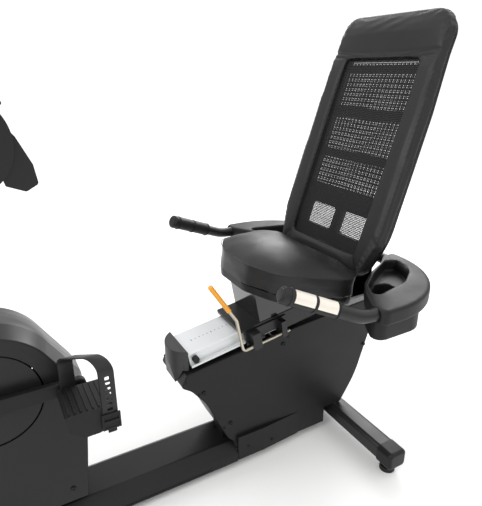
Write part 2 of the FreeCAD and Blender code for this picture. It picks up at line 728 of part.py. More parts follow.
def build_crank():
    axis, half = S.crank_height, S.bracket_half
    outside = S.crank_inner + S.crank_thick
    bearings = []
    for side in (-1, 1):
        start = -half if side < 0 else half - S.bearing_width
        ring = rod(f"bearing_ring{side + 1}", CRANK_X, start, axis, S.bearing_radius, S.bearing_width)
        bore = rod(f"bearing_bore{side + 1}", CRANK_X, start - 1, axis, S.axle_radius + S.fit, S.bearing_width + 2)
        bearings.append(cut(f"bearing{side + 1}", ring, bore))
    node(group("bearings", *bearings), "crank_bearings")
    node(rod("crank_axle", CRANK_X, -outside, axis, S.axle_radius, outside * 2), "crank_axle")
    pulley_start = -S.pulley_offset - S.pulley_width / 2
    rim = rod("pulley_rim", CRANK_X, pulley_start, axis, S.pulley_radius, S.pulley_width)
    pulley_bore = rod("pulley_bore", CRANK_X, pulley_start - 1, axis, S.axle_radius, S.pulley_width + 2)
    lightening = []
    for number in range(6):
        turn = math.radians(60 * number)
        lightening.append(rod(f"pulley_hole{number}", CRANK_X + S.pulley_radius * (0.6 * math.cos(turn)),
                              pulley_start - 1, axis + S.pulley_radius * (0.6 * math.sin(turn)),
                              S.pulley_radius * 0.2, S.pulley_width + 2))
    node(cut("drive_pulley", rim, pulley_bore, *lightening), "drive_pulley")
    disc = cut("disc", rod("disc_plate", CRANK_X, -S.housing_half + 1, axis, S.disc_radius, 4),
               rod("disc_bore", CRANK_X, -S.housing_half, axis, S.axle_radius, 6))
    node(group("discs", disc, mirrored("disc", disc)), "crank_discs")
    spindles = []
    for side, label in ((-1, "crank_arm_left"), (1, "crank_arm_right")):
        way = -side
        arm = start_body(label + "_bar")
        wide = S.crank_wide / 2
        ends = [(-wide - 5, -wide - 2, 18), (S.crank_throw + wide, -wide, 15.5), (S.crank_throw + wide, wide, 15.5),
                (-wide - 5, wide + 2, 18)]
        if way < 0:
            ends = [(-x, z, r) for x, z, r in reversed(ends)]
        near = S.crank_inner if side < 0 else -outside
        pad(arm, "XZ_Plane", near, S.crank_thick, [(CRANK_X + x, axis + z, r) for x, z, r in ends])
        round_edges(arm, 4, at_y(side * float(outside)))
        pocket(arm, "XZ_Plane", near - 1, S.crank_thick + 2, ("circle", CRANK_X, axis, S.axle_radius))
        pedal_x = CRANK_X + S.crank_throw * way
        pocket(arm, "XZ_Plane", near - 1, S.crank_thick + 2, ("circle", pedal_x, axis, S.spindle_radius))
        node(arm, label)
        reach = S.crank_thick + S.pedal_gap + S.pedal_width - 8
        start = S.crank_inner if side > 0 else -S.crank_inner - reach
        spindles.append(rod(f"spindle{side + 1}", pedal_x, start, axis, S.spindle_radius, reach))
    node(group("spindles", *spindles), "pedal_spindles")


def build_flywheel():
    width, y = S.flywheel_width, -S.flywheel_width / 2
    height = S.flywheel_height
    hub_start = -S.pulley_offset - S.pulley_width
    disc = rod("fly_disc", FLYWHEEL_X, y, height, S.flywheel_radius, width)
    parts = [disc]
    parts.append(rod("fly_hub", FLYWHEEL_X, hub_start, height, 14, width / 2 + 3 - hub_start))
    parts.append(rod("fly_pulley", FLYWHEEL_X, -S.pulley_offset - S.pulley_width / 2, height,
                     S.small_pulley_radius, S.pulley_width))
    holes = [rod("fly_bore", FLYWHEEL_X, hub_start - 1, height, 8.5 + S.fit, width - hub_start)]
    for number in range(5):
        turn = math.radians(72 * number)
        holes.append(rod(f"fly_window{number}", FLYWHEEL_X + S.flywheel_radius * (0.5 * math.cos(turn)), y - 1,
                         height + S.flywheel_radius * (0.5 * math.sin(turn)), S.flywheel_radius * 0.16, width + 2))
    node(cut("flywheel", fuse("flywheel", *parts), *holes), "flywheel")
    front = FLYWHEEL_X - S.flywheel_radius
    yoke = box("yoke", front - 42, -24, S.flywheel_height - 30, 60, 48, 60)
    slot = box("yoke_slot", front - 22, -S.flywheel_width / 2 - 2, S.flywheel_height - 31, 60,
               S.flywheel_width + 4, 62)
    room = rod("yoke_room", FLYWHEEL_X, -S.flywheel_width / 2 - 2, S.flywheel_height, S.flywheel_radius + 3,
               S.flywheel_width + 4)
    foot = box("yoke_foot", front - 42, -20, S.housing_bottom + 6, 14, 40, S.flywheel_height - S.housing_bottom)
    sole = box("yoke_sole", front - 42, -20, S.housing_bottom + 6, 112, 40, 5)
    node(cut("brake_magnet", fuse("brake", yoke, foot, sole), slot, room), "brake_magnet")


def build_belt():
    start = float(-S.pulley_offset - S.pulley_width / 2) + 0.5
    inner = belt_loop(float(S.gap))
    outer = belt_loop(float(S.gap) + float(S.belt_thick))
    wide = Vector(0, float(S.pulley_width) - 1, 0)
    ring = Part.Face(outer).extrude(wide).cut(Part.Face(inner).extrude(wide))
    ring.translate(Vector(0, start, 0))
    node(shaped("drive_belt", ring), "drive_belt")
    centre = idler_centre()
    wheel = rod("idler_wheel", centre.x, start, centre.z, S.idler_radius, S.pulley_width - 1)
    bore = rod("idler_bore", centre.x, start - 1, centre.z, 5 + S.fit, S.pulley_width + 1)
    node(cut("idler_pulley", wheel, bore), "idler_pulley")


# ---------------------------------------------------------------- pedals

def pedal_body(name):
    """A weighted pedal: ribbed tread on top, deep rounded belly below its spindle."""
    x, z = CRANK_X + S.crank_throw, S.crank_height
    half = S.pedal_length / 2
    inner = S.crank_inner + S.crank_thick + S.pedal_gap
    body = start_body(name)
    pad(body, "XZ_Plane", inner, S.pedal_width,
        [(x - half, z + 14, 5), (x - half + 4, z - 22, 16), (x - half + 32, z - 46, 20), (x + half - 32, z - 46, 20),
         (x + half - 4, z - 22, 16), (x + half, z + 14, 5)])
    pocket(body, "XZ_Plane", inner - 1, S.pedal_width - 5, ("circle", x, z, S.spindle_radius + S.fit))
    for number in range(8):
        rib_x = x - half + 9 + (S.pedal_length - 18) / 7 * number
        pad(body, "XZ_Plane", inner + 4, S.pedal_width - 8,
            [(rib_x - 2, z + 13.5), (rib_x + 2, z + 13.5), (rib_x + 1.4, z + 16.5), (rib_x - 1.4, z + 16.5)])
    return body


def strap_band(name):
    """The foot strap: a band arched over the tread, led askew from the inner front to the outer rear."""
    z, thick = S.crank_height, S.strap_thick
    inner = -(S.crank_inner + S.crank_thick + S.pedal_gap) + 0.3
    outer = inner - S.pedal_width - 0.6
    low, high = S.strap_low, S.strap_high
    body = start_body(name)
    x = CRANK_X + S.crank_throw - 23
    pad(body, "YZ_Plane", x - S.strap_width / 2, S.strap_width,
        [(inner, z - 8), (inner + thick, z - 8), (inner + thick, z + low + thick, 23), (outer - thick, z + high + thick, 28),
         (outer - thick, z - 38), (outer, z - 38), (outer, z + high, 25), (inner, z + low, 20)])
    shear = Matrix()
    shear.A12 = -float(S.strap_skew)
    shear.A14 = float(S.strap_skew) * float(inner)
    return shaped(f"{name}_skewed", body.Shape.transformGeometry(shear))


def build_pedals():
    left = pedal_body("pedal_solid")
    node(left, "pedal_left")
    band = strap_band("strap")
    node(band, "strap_left")
    shift = S.crank_throw * -2
    for source, label in ((left, "pedal_right"), (band, "strap_right")):
        other = group(label, mirrored(label, source))
        node(place(other, shift, 0, 0), label)


# ---------------------------------------------------------------- carriage and seat

def build_carriage():
    front, length = S.plate_front, S.plate_length
    end = front + length
    half, lift, thick = S.plate_half, S.plate_lift, S.plate_thick
    deep = S.rail_depth
    body = start_body("carriage_body")
    window_half = S.roller_radius + 4
    windows = [[(u - window_half, -56), (u + window_half, -56), (u + window_half, 56), (u - window_half, 56)]
               for u in (S.roller_front, S.roller_rear)]
    pad(body, "XY_Plane", lift, thick,
        [(front, -half, 6), (end, -half, 6), (end, half, 6), (front, half, 6)], *windows)
    lip_gap, lip = 0.8, 4
    for side in (-1, 1):
        skin = half - 4 if side < 0 else -half
        pad(body, "XZ_Plane", skin, 4,
            [(front + 12, lift + 2), (front + 12, -deep - lip_gap - lip), (end - 12, -deep - lip_gap - lip),
             (end - 12, lift + 2)])
        for low_u, high_u in ((front + 12, front + 60), (front + 120, end - 12)):
            inner = S.flange_half - 5 if side < 0 else -half + 1
            pad(body, "XZ_Plane", inner, half - S.flange_half + 4,
                [(low_u, -deep - lip_gap), (low_u, -deep - lip_gap - lip), (high_u, -deep - lip_gap - lip),
                 (high_u, -deep - lip_gap)])
        for low_u in (front + 12, end - 18):
            inner = S.flange_half - 6 if side < 0 else -half + 1
            pad(body, "XZ_Plane", inner, half - S.flange_half + 5,
                [(low_u, -27), (low_u + 6, -27), (low_u + 6, -10), (low_u, -10)])
    pocket(body, "XZ_Plane", half - 5, 6,
           [(front + 70, -deep - 10), (front + 110, -deep - 10), (front + 110, -deep + 6), (front + 70, -deep + 6)])
    roller_v = S.roller_radius + 0.3
    for u in (S.roller_front, S.roller_rear):
        for ear in (S.rail_half + 3, -S.rail_half - 9):
            pad(body, "XZ_Plane", ear, 6,
                [(u - 9, lift + 2), (u + 9, lift + 2), (u + 9, roller_v + 9, 8), (u - 9, roller_v + 9, 8)])
        pocket(body, "XZ_Plane", -S.rail_half - 10, S.rail_half * 2 + 20, ("circle", u, roller_v, 4 + S.fit))
    node(rail_place(body), "carriage_body")
    for label, u in (("roller_front", S.roller_front), ("roller_rear", S.roller_rear)):
        roller = start_body(label)
        pad(roller, "XZ_Plane", -S.rail_half + 3, S.rail_half * 2 - 6, ("circle", u, roller_v, S.roller_radius))
        pad(roller, "XZ_Plane", -S.rail_half - 8, S.rail_half * 2 + 16, ("circle", u, roller_v, 4))
        node(rail_place(roller), label)


def pan_line(u, depth):
    """Height above the rail, square to it, of the seat pan's underside lowered by depth, at a place u."""
    lean = S.rail_slope + S.seat_tilt
    run, rise = S.rail_front_back - S.seat_back, S.seat_height - S.rail_top
    seat_u = run * cosine(S.rail_slope) + rise * sine(S.rail_slope)
    seat_v = rise * cosine(S.rail_slope) - run * sine(S.rail_slope)
    return seat_v - depth / cosine(lean) - (u - seat_u) * (sine(lean) / cosine(lean))


def build_riser():
    """The pedestal between plate and pan, and the arm that carries backrest and handles."""
    front, length, half = S.riser_front, S.riser_length, S.riser_half
    bottom = S.plate_lift + S.plate_thick
    shell = start_body("riser_shell")
    top = [(u, pan_line(u, S.pan_thick)) for u in (front + length + 6, front - 3)]
    pad(shell, "XZ_Plane", -half, half * 2, [(front, bottom), (front + length, bottom), *top])
    inner_top = [(u, pan_line(u, S.pan_thick + 4)) for u in (front + length + 1, front + 1)]
    pocket(shell, "XZ_Plane", -half + 4, half * 2 - 8,
           [(front + 4, bottom - 1), (front + length - 4, bottom - 1), *inner_top])
    rail_place(shell)
    arm = start_body("riser_arm")
    tube_low = S.handle_height - S.tube_radius
    pad(arm, "XZ_Plane", -25, 50,
        [(back(128), 486), (back(-20), 511), (back(-122), tube_low - 18), (back(-122), tube_low),
         (back(-85), tube_low), (back(-6), 596), (back(20), 596), (back(29), 569), (back(84), 516), (back(128), 510)])
    strip = start_body("riser_strip")
    edge = [(45, -44), (45, 22, 8), (13, 22, 4), (13, 108, 4), (60, 108, 4), (60, 158, 8)]
    pad(strip, "YZ_Plane", S.pad_thick + 14.5, 8, edge + [(-corner[0], *corner[1:]) for corner in reversed(edge)])
    back_place(strip)
    brace = start_body("riser_brace")
    pad(brace, "XZ_Plane", -165, 330,
        [(back(100), 508), (back(4), 508), (back(4), 598), (back(12), 598), (back(12), 514), (back(100), 514)])
    node(fuse("seat_riser", shell, arm, strip, brace), "seat_riser")


def seat_corners(margin=0.0):
    """Plan of the seat: broad behind, drawn in and round towards the knees."""
    half = S.seat_half - margin
    rear, nose = 113 - margin, -148 + margin
    side = [(nose, -62, 60), (-98, -half * 0.76, 95), (58, -half, 60), (rear, -half * 0.93, 32)]
    return side + [(x, -y, r) for x, y, r in reversed(side)]


def build_seat():
    pan = start_body("seat_pan")
    pad(pan, "XY_Plane", -S.pan_thick, S.pan_thick, seat_corners(2))
    node(seat_place(pan), "seat_pan")
    cushion = start_body("seat_cushion")
    pad(cushion, "XY_Plane", 0.3, S.cushion_thick, seat_corners())
    round_edges(cushion, 30, at_z(0.3 + float(S.cushion_thick)))
    node(seat_place(cushion), "seat_cushion")


def back_corners(margin=0.0):
    """Front outline of the backrest: y across, height along the recline."""
    half, head, top = S.back_half - margin, S.head_half - margin, S.back_top - margin
    side = [(half - 38, -50 + margin, 30), (half, 60, 200), (half - 8, 400, 300), (head, 545, 120), (head, top, 60)]
    return side + [(-y, z, r) for y, z, r in reversed(side)]


def build_backrest():
    thick, mesh = S.pad_thick, S.mesh_half
    opening = [(-mesh, 0, 3), (mesh, 0, 3), (mesh, S.mesh_top, 3), (-mesh, S.mesh_top, 3)]
    cushion = start_body("backrest_pad")
    pad(cushion, "YZ_Plane", 0, thick, back_corners(), opening)
    node(back_place(cushion), "backrest_pad")
    net = start_body("backrest_mesh")
    edge = mesh - S.gap
    pad(net, "YZ_Plane", 9, 2,
        [(-edge, S.gap, 3), (edge, S.gap, 3), (edge, S.mesh_top - S.gap, 3), (-edge, S.mesh_top - S.gap, 3)])
    node(back_place(net), "backrest_mesh")
    shell = start_body("backrest_shell")
    start, board = thick + 2.5, 12
    pad(shell, "YZ_Plane", start, board, back_corners(6))
    wide = mesh + 10
    windows = [(-wide, wide, low, high) for low, high in ((164, 245), (272, 368), (398, 501), (519, 543))]
    windows += [(-126, -14, 37, 103), (14, 126, 37, 103)]
    for left, right, low, high in windows:
        pocket(shell, "YZ_Plane", start - 1, board + 2,
               [(left, low, 8), (right, low, 8), (right, high, 8), (left, high, 8)])
    node(back_place(shell), "backrest_shell")


# ---------------------------------------------------------------- handles and cup holders

def handle_path():
    """From the left grip's front end back, round behind the seat and forward to the right grip."""
    half, z = S.handle_half, S.handle_height
    run = float(half - S.grip_front_y) / math.sin(math.radians(14.2))
    bend_x = float(S.grip_front_x) - run * math.cos(math.radians(14.2))
    left = [point(back(S.grip_front_x), -S.grip_front_y, S.grip_front_z), point(back(bend_x), -half, z),
            point(S.rear_foot_x + S.handle_rear, -half, z)]
    return left + [Vector(p.x, -p.y, p.z) for p in reversed(left)]


def rounded_handle(radius, bore=0.0):
    points = handle_path()
    small, large = 120.0, float(S.handle_bend)
    halves = []
    for side in (points[:3], points[:2:-1]):
        end = Vector(side[2].x, 0, side[2].z)
        first = bent_path([side[0], side[1], (side[1] + side[2]) * 0.5], small)
        second = bent_path([(side[1] + side[2]) * 0.5, side[2], end], large)
        halves.append(Part.Wire(list(first.OrderedEdges) + list(second.OrderedEdges)))
    pieces = [swept(half, radius, bore) for half in halves]
    return pieces[0].fuse(pieces[1]).removeSplitter()


def along_grip(radius, start, length, side, sweep=360.0, turned=0.0):
    """A round length on the grip's axis, measured from the handle's front end; turned starts at its top."""
    points = handle_path()
    first, second = (points[0], points[1]) if side < 0 else (points[-1], points[-2])
    heading = (second - first).normalize()
    upward = (Vector(0, 0, 1) - heading * heading.z).normalize()
    solid = Part.makeCylinder(float(radius), float(length), Vector(), Vector(0, 0, 1), sweep)
    turn = Rotation(upward, heading.cross(upward), heading, "ZXY")
    spin = Rotation(Vector(0, 0, 1), float(turned))
    solid.Placement = Placement(first + heading * float(start), turn * spin)
    return solid


def build_handles():
    tube, skin = float(S.tube_radius), float(S.grip_thick)
    node(shaped("handle_tube", rounded_handle(tube, tube - 2)), "handle_tube")
    grips, plates = [], []
    for side in (-1, 1):
        core = along_grip(tube + 0.05, 0, S.grip_length + 5, side)
        sleeve = along_grip(tube + skin, -6, S.grip_length + 6, side).cut(core)
        grips.append(sleeve)
        for start in (16, 74):
            ring = along_grip(tube + skin + 1.2, start, 50, side, 97, 2 if side < 0 else -99)
            plates.append(ring.cut(along_grip(tube + skin, start - 1, 52, side)))
    node(shaped("hand_grips", Part.Compound(grips)), "hand_grips")
    node(shaped("pulse_plates", Part.Compound(plates)), "pulse_plates")


def holder_body(name):
    """The moulding over the handle's bend: a tray with a deep cup well in front."""
    top, deep, half = S.holder_top, S.holder_deep, S.handle_half
    right = S.rear_foot_x + S.handle_rear + 25
    out = -half - 31
    body = start_body(name)
    pad(body, "XY_Plane", top - deep, deep,
        [(back(172), out, 20), (right, out, 245), (right, -110, 12), (back(-90), -110, 12), (back(-40), -150, 40),
         (back(24), -182, 60), (back(92), -230, 60), (back(134), -278, 60), (back(170), -342, 20)])
    round_edges(body, 6, at_z(top))
    pad(body, "XY_Plane", S.well_bottom, top - deep - S.well_bottom + 1,
        [(back(158), out + 22, 24), (back(20), out + 22, 60), (back(-24), -290, 40), (back(-24), -206, 16),
         (back(26), -192, 20), (back(90), -238, 20), (back(130), -282, 20), (back(158), -330, 14)])
    pocket(body, "XY_Plane", top - deep + 4, deep,
           [(back(131), -306, 12), (back(94), -246, 26), (back(20), -192, 60), (back(-62), -146, 12),
            (back(-93), -160, 12), (back(-91), -205, 20), (back(-55), -240, 30), (back(0), -278, 60)])
    pocket(body, "XY_Plane", S.well_bottom + 4, 60,
           [(back(126), -302, 10), (back(97), -252, 16), (back(24), -202, 16), (back(-8), -212, 12),
            (back(-8), -264, 24), (back(30), -287, 24)])
    return body


def build_holders():
    tube = rounded_handle(float(S.tube_radius))
    for side, label in ((-1, "cup_holder_left"), (1, "cup_holder_right")):
        body = holder_body(label + "_moulding")
        solid = body if side < 0 else mirrored(label, body)
        tunnel = shaped(label + "_tunnel", tube.copy())
        node(cut(label, solid, tunnel), label)


# ---------------------------------------------------------------- seat lock lever

def build_lever():
    y, drop = S.lever_y, S.lever_drop
    front = S.plate_front - 9
    path = [point(front + 150, -y, -drop), point(front, -y, -drop), point(front - 4, -y, 59), point(84, -y, 180)]
    lever = bent_path(path, 12)
    rod_solid = swept(lever, float(S.lever_radius))
    pawl_u = 30 + 12 * 17 + 2.5
    pawl = Part.makeBox(3.6, float(y) - 58.6, 5, Vector(pawl_u - 1.8, -float(y), -float(drop) - 2.5))
    sleeve_path = Part.Wire([Part.LineSegment(path[2] + (path[3] - path[2]) * 0.3,
                                              path[3] + (path[3] - path[2]) * 0.02).toShape()])
    sleeve = swept(sleeve_path, float(S.sleeve_radius))
    rod_node = shaped("lock_lever", rod_solid.fuse(pawl).removeSplitter())
    node(rail_place(rod_node), "lock_lever")
    grip_node = shaped("lever_grip", sleeve.cut(rod_solid))
    node(rail_place(grip_node), "lever_grip")
    bracket = start_body("lever_bracket")
    skin = S.plate_half + 0.3
    pad(bracket, "XZ_Plane", skin, 4, [(front + 26, 4), (front + 26, -26), (front + 150, -26), (front + 150, 4)])
    reach = y + S.lever_radius + 4.5 - skin - 3
    for low_u, high_u in ((front + 30, front + 56), (front + 122, front + 138)):
        pad(bracket, "XZ_Plane", skin + 3, reach,
            [(low_u, 0), (low_u, -drop - 9, 5), (high_u, -drop - 9, 5), (high_u, 0)])
    pocket(bracket, "YZ_Plane", front + 20, 140, ("circle", -y, -drop, S.lever_radius + S.fit))
    node(rail_place(bracket), "lever_bracket")


# ---------------------------------------------------------------- mast, front bar and console

def build_mast():
    hinge = mast_end(S.hinge_drop)
    foot = point(MAST_X, 0, S.mast_foot_height)
    heading = (hinge - foot).normalize()
    length = (hinge - foot).Length
    radius = float(S.mast_radius)
    tube = Part.makeCylinder(radius, length - 22, foot, heading).cut(
        Part.makeCylinder(radius - 2.5, length - 29, foot, heading))
    for side in (-1, 1):
        y = 12.4 * side if side > 0 else -18.4
        low = hinge - heading * 24
        across = heading.cross(Vector(0, 1, 0))
        corners = [low - across * 15, low + across * 15, hinge + across * 15, hinge - across * 15]
        plate = Part.Face(Part.makePolygon(corners + corners[:1])).extrude(Vector(0, 6, 0))
        plate = plate.fuse(Part.makeCylinder(15, 6, hinge, Vector(0, 1, 0)))
        plate.translate(Vector(0, y, 0))
        tube = tube.fuse(plate)
    pin = Part.makeCylinder(float(S.hinge_radius), 36.8, hinge - Vector(0, 18.4, 0), Vector(0, 1, 0))
    node(shaped("console_mast", tube.fuse(pin).removeSplitter()), "console_mast")


def bar_path():
    """The front handlebar: across the mast and up at both ends."""
    middle = mast_end(S.hinge_drop + 68)
    heading = (mast_end(0) - middle).normalize()
    front = Vector(0, 1, 0).cross(heading) * float(S.mast_radius + S.bar_radius)
    centre = middle - front if front.x > 0 else middle + front
    half = float(S.bar_half)
    low = [Vector(centre.x, -half, centre.z), Vector(centre.x, half, centre.z)]
    rise = Vector(72, 0, 96)
    return [low[0] + rise, low[0], low[1], low[1] + rise]


def build_front_bar():
    path = bent_path(bar_path(), 55)
    radius = float(S.bar_radius)
    bar = swept(path, radius)
    node(shaped("front_handlebar", bar), "front_handlebar")
    grips = []
    for top, low in (bar_path()[:2], bar_path()[:1:-1]):
        heading = (top - low).normalize()
        core = Part.makeCylinder(radius + 0.05, 200, top, -heading)
        sleeve = Part.makeCylinder(radius + 4, 66, top + heading * 5, -heading)
        grips.append(sleeve.cut(core))
    node(shaped("front_grips", Part.Compound(grips)), "front_grips")


def build_console():
    """A round drum with the keypad lip towards the rider and the display housing standing on it."""
    half, radius, height = S.drum_half, S.drum_radius, S.console_height
    hinge = mast_end(S.hinge_drop)
    drum = rod("drum", DRUM_X, -half, height, radius, half * 2)
    lip = start_body("console_lip")
    pad(lip, "XZ_Plane", -half + 6, half * 2 - 12,
        [(DRUM_X + 40, height + 40), (back(870), 906, 4), (back(838), 893, 6), (back(816), 905, 6),
         (back(821), 940), (back(843), 989), (back(862), 1010)])
    display = start_body("console_display")
    pad(display, "XZ_Plane", -half - 8, half * 2 + 16,
        [(back(880), 1028), (back(855), 1043, 4), (back(928), 1196, 8), (back(956), 1184, 8), (back(905), 1058)])
    lug = start_body("console_lug")
    pad(lug, "XZ_Plane", -12, 24,
        [(hinge.x - 10, hinge.z - 10, 9.9), (hinge.x + 14, hinge.z - 12, 10), (DRUM_X + 10, height - 60),
         (DRUM_X - 70, height - 40), (hinge.x - 12, hinge.z + 8)])
    hollow_drum = rod("drum_hollow", DRUM_X, -half + 4, height, radius - 4, half * 2 - 8)
    bore = rod("hinge_bore", hinge.x, -13, hinge.z, S.hinge_radius + S.fit, 26)
    pieces = fuse("console", cut("drum_shell", drum, hollow_drum), lip, display, lug)
    face = (point(back(843), 0, 989) - point(back(821), 0, 940)).normalize()
    outward = Vector(face.z, 0, -face.x)
    centre = (point(back(843), 0, 989) + point(back(821), 0, 940)) * 0.5
    wells, turn = [], Rotation(Vector(0, 0, 1), outward)
    for label, y in (("start_button", -42), ("stop_button", 42)):
        where = centre + Vector(0, y, 0) - outward * 8
        well = rod(f"{label}_well", where.x, where.y, where.z, S.button_radius + S.gap, 20, "Z")
        well.Placement = Placement(where, turn)
        wells.append(well)
        base = centre + Vector(0, y, 0) - outward * 5.6
        cap = shaped(label, Part.makeCylinder(float(S.button_radius), 8.4, base, outward))
        node(cap, label)
    node(cut("console_body", pieces, bore, *wells), "console_body")
    slope = (point(back(928), 0, 1196) - point(back(855), 0, 1043)).normalize()
    front = Vector(slope.z, 0, -slope.x)
    low = point(back(855), -half + 12, 1043) + slope * 16 + front * 0.2
    screen = Part.makeBox(float(half) * 2 - 24, 130, 3)
    screen.Placement = Placement(low, Rotation(Vector(0, 1, 0), slope, front, "ZXY"))
    node(shaped("console_screen", screen), "console_screen")


# ---------------------------------------------------------------- build, check and write

def check_and_write():
    doc.recompute()
    for thing in doc.Objects:
        if "Invalid" in thing.State or "Error" in thing.State:
            raise RuntimeError(f"{thing.Name} failed: {thing.State}")
    os.makedirs("parts", exist_ok=True)
    for old in os.listdir("parts"):
        os.remove(os.path.join("parts", old))
    for thing in nodes:
        shape = thing.Shape
        if shape.isNull() or not shape.isValid() or not shape.Solids:
            raise RuntimeError(f"{thing.Label} has no valid solid")
        shape.exportStep(os.path.join("parts", f"{thing.Label}.step"))
    print(len(nodes), "nodes written")


def main():
    build_base()
    transport_wheel("transport_wheel_left", -1)
    transport_wheel("transport_wheel_right", 1)
    beam_cover()
    build_fairing()
    screw_group()
    build_rail()
    seat_post()
    build_housing()
    build_drive_frame()
    build_crank()
    build_flywheel()
    build_belt()
    build_pedals()
    build_carriage()
    build_riser()
    build_seat()
    build_backrest()
    build_handles()
    build_holders()
    build_lever()
    build_mast()
    build_front_bar()
    build_console()
    check_and_write()


main()
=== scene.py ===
"""The looks of a semi-recumbent exercise bike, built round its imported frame.

Metres. +X is the rear, +Z up, and the rider's left, which faces the camera, is -Y. Places come from the
frame's boxes and joints. Each operator below makes or dresses one group of pieces, and the panel lists them
in working order.
"""
import json
import math

import bpy
import numpy as np
from bpy.props import FloatProperty, FloatVectorProperty, IntProperty, PointerProperty
from mathutils import Matrix, Vector


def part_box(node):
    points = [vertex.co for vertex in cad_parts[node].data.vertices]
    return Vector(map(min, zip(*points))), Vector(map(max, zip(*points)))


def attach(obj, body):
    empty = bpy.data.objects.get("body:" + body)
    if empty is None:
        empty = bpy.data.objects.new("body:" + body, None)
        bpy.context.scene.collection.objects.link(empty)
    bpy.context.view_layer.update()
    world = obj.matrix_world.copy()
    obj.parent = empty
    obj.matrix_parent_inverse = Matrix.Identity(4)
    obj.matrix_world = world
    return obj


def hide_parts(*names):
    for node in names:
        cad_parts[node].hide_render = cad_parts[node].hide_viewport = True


bl_info = {
    "name": "Exercise bike looks",
    "version": (1, 0, 0),
    "blender": (4, 5, 0),
    "location": "3D View > Sidebar > Bike",
    "description": "Upholstery, trim, materials and stage for a semi-recumbent exercise bike",
    "category": "Object",
}

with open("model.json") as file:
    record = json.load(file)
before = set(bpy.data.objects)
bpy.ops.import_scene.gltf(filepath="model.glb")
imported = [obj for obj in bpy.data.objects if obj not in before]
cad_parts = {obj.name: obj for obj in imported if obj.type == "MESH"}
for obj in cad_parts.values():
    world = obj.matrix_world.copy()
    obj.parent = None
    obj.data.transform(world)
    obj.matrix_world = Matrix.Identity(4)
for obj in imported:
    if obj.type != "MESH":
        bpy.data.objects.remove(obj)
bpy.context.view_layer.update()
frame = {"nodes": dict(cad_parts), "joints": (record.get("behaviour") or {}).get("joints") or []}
MM = 0.001


def joint_of(name):
    return next(joint for joint in frame["joints"] if joint["name"] == name)


def middle_of(node):
    low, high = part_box(node)
    return (low + high) / 2


FOOT_X = middle_of("rear_stabilizer").x
CRANK = Vector(joint_of("crank_spin")["pos_m"])
PEDAL = Vector(joint_of("pedal_left_spin")["pos_m"])
LEFT_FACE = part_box("housing_left")[0].y
RAIL_SLOPE = math.radians(9.6)
RECLINE = math.radians(18.8)
SEAT_TILT = math.radians(7.4)


def leaning(origin, angle):
    """The placing of a plane through origin, turned about Y so that its X axis drops by angle."""
    return Matrix.Translation(origin) @ Matrix.Rotation(angle, 4, "Y")


RAIL = leaning(Vector((FOOT_X - 511 * MM, 0, 407.3 * MM)), -RAIL_SLOPE)
BACK = leaning(Vector((FOOT_X - 55.4 * MM, 0, 624.9 * MM)), RECLINE)
SEAT = leaning(Vector((FOOT_X - 205 * MM, 0, 555 * MM)), SEAT_TILT)
SAME_POINT = 0.01 * MM


# ---------------------------------------------------------------- sizes and colours a user would change

def length(name, description, default):
    return FloatProperty(name=name, description=description, default=default, subtype="DISTANCE",
                         unit="LENGTH")


def colour(name, description, hexadecimal):
    return FloatVectorProperty(name=name, description=description, size=3, subtype="COLOR",
                               min=0, max=1, default=linear(hexadecimal))


def linear(hexadecimal):
    """Turns an sRGB colour such as "#2b2b2c" into Blender's linear numbers."""
    parts = [int(hexadecimal[i:i + 2], 16) / 255 for i in (1, 3, 5)]
    return tuple(p / 12.92 if p <= 0.04045 else ((p + 0.055) / 1.055) ** 2.4 for p in parts)


class BikeColours(bpy.types.PropertyGroup):
    shell: colour("Shell", "Moulded covers of the frame", "#161617")
    housing: colour("Housing", "Side walls of the drive housing", "#1d1d1e")
    # The crown's lighter grey is painted top light: it stands for the light from above on the band that
    # faces up.
    crown: colour("Crown", "Middle band of the drive housing", "#4a4a4b")
    seat: colour("Seat", "Leatherette of the seat", "#131314")
    back: colour("Back", "Leatherette of the backrest", "#161617")
    steel: colour("Frame steel", "Powder coat of the steel frame", "#171718")
    rail: colour("Rail", "Anodised seat rail", "#d3d5d6")
    lever: colour("Lever sleeve", "Dipped sleeve of the seat lever", "#e39a12")


class BikeSizes(bpy.types.PropertyGroup):
    band: length("Seat band", "Height of the cushion's side band", 55 * MM)
    voxel: length("Foam voxel", "Cell of the remeshed padding", 5 * MM)
    net_cell: length("Net cell", "Distance between the threads of the back's netting", 4.6 * MM)
    thread: length("Net thread", "Width of a thread of the netting", 2.25 * MM)
    pressure: FloatProperty(name="Foam pressure", description="Pressure that swells the padding",
                            default=4.0, min=0)
    steps: IntProperty(name="Cloth steps", description="Frames the padding is let swell for",
                       default=20, min=1)


# ---------------------------------------------------------------- working with meshes

def deselect():
    if bpy.context.object and bpy.context.object.mode != "OBJECT":
        bpy.ops.object.mode_set(mode="OBJECT")
    bpy.ops.object.select_all(action="DESELECT")


def only(piece):
    """Makes piece the one selected and active object."""
    deselect()
    piece.select_set(True)
    bpy.context.view_layer.objects.active = piece
    return piece


def started(name):
    """Names the primitive that was just added and puts its size into its mesh."""
    piece = bpy.context.object
    piece.name = name
    piece.data.name = name
    bpy.ops.object.transform_apply(location=True, rotation=True, scale=True)
    return piece


def block(name, low, high):
    """A block between two corners, to be shaped further."""
    deselect()
    low, high = Vector(low), Vector(high)
    bpy.ops.mesh.primitive_cube_add(size=1, location=(low + high) / 2, scale=high - low)
    return started(name)


def turned(name, centre, axis, radius, depth, sides=48):
    """A round piece about an axis, to be shaped further."""
    deselect()
    turn = Vector(axis).to_track_quat("Z", "Y").to_euler()
    bpy.ops.mesh.primitive_cylinder_add(vertices=sides, radius=radius, depth=depth, location=centre,
                                        rotation=turn)
    return started(name)


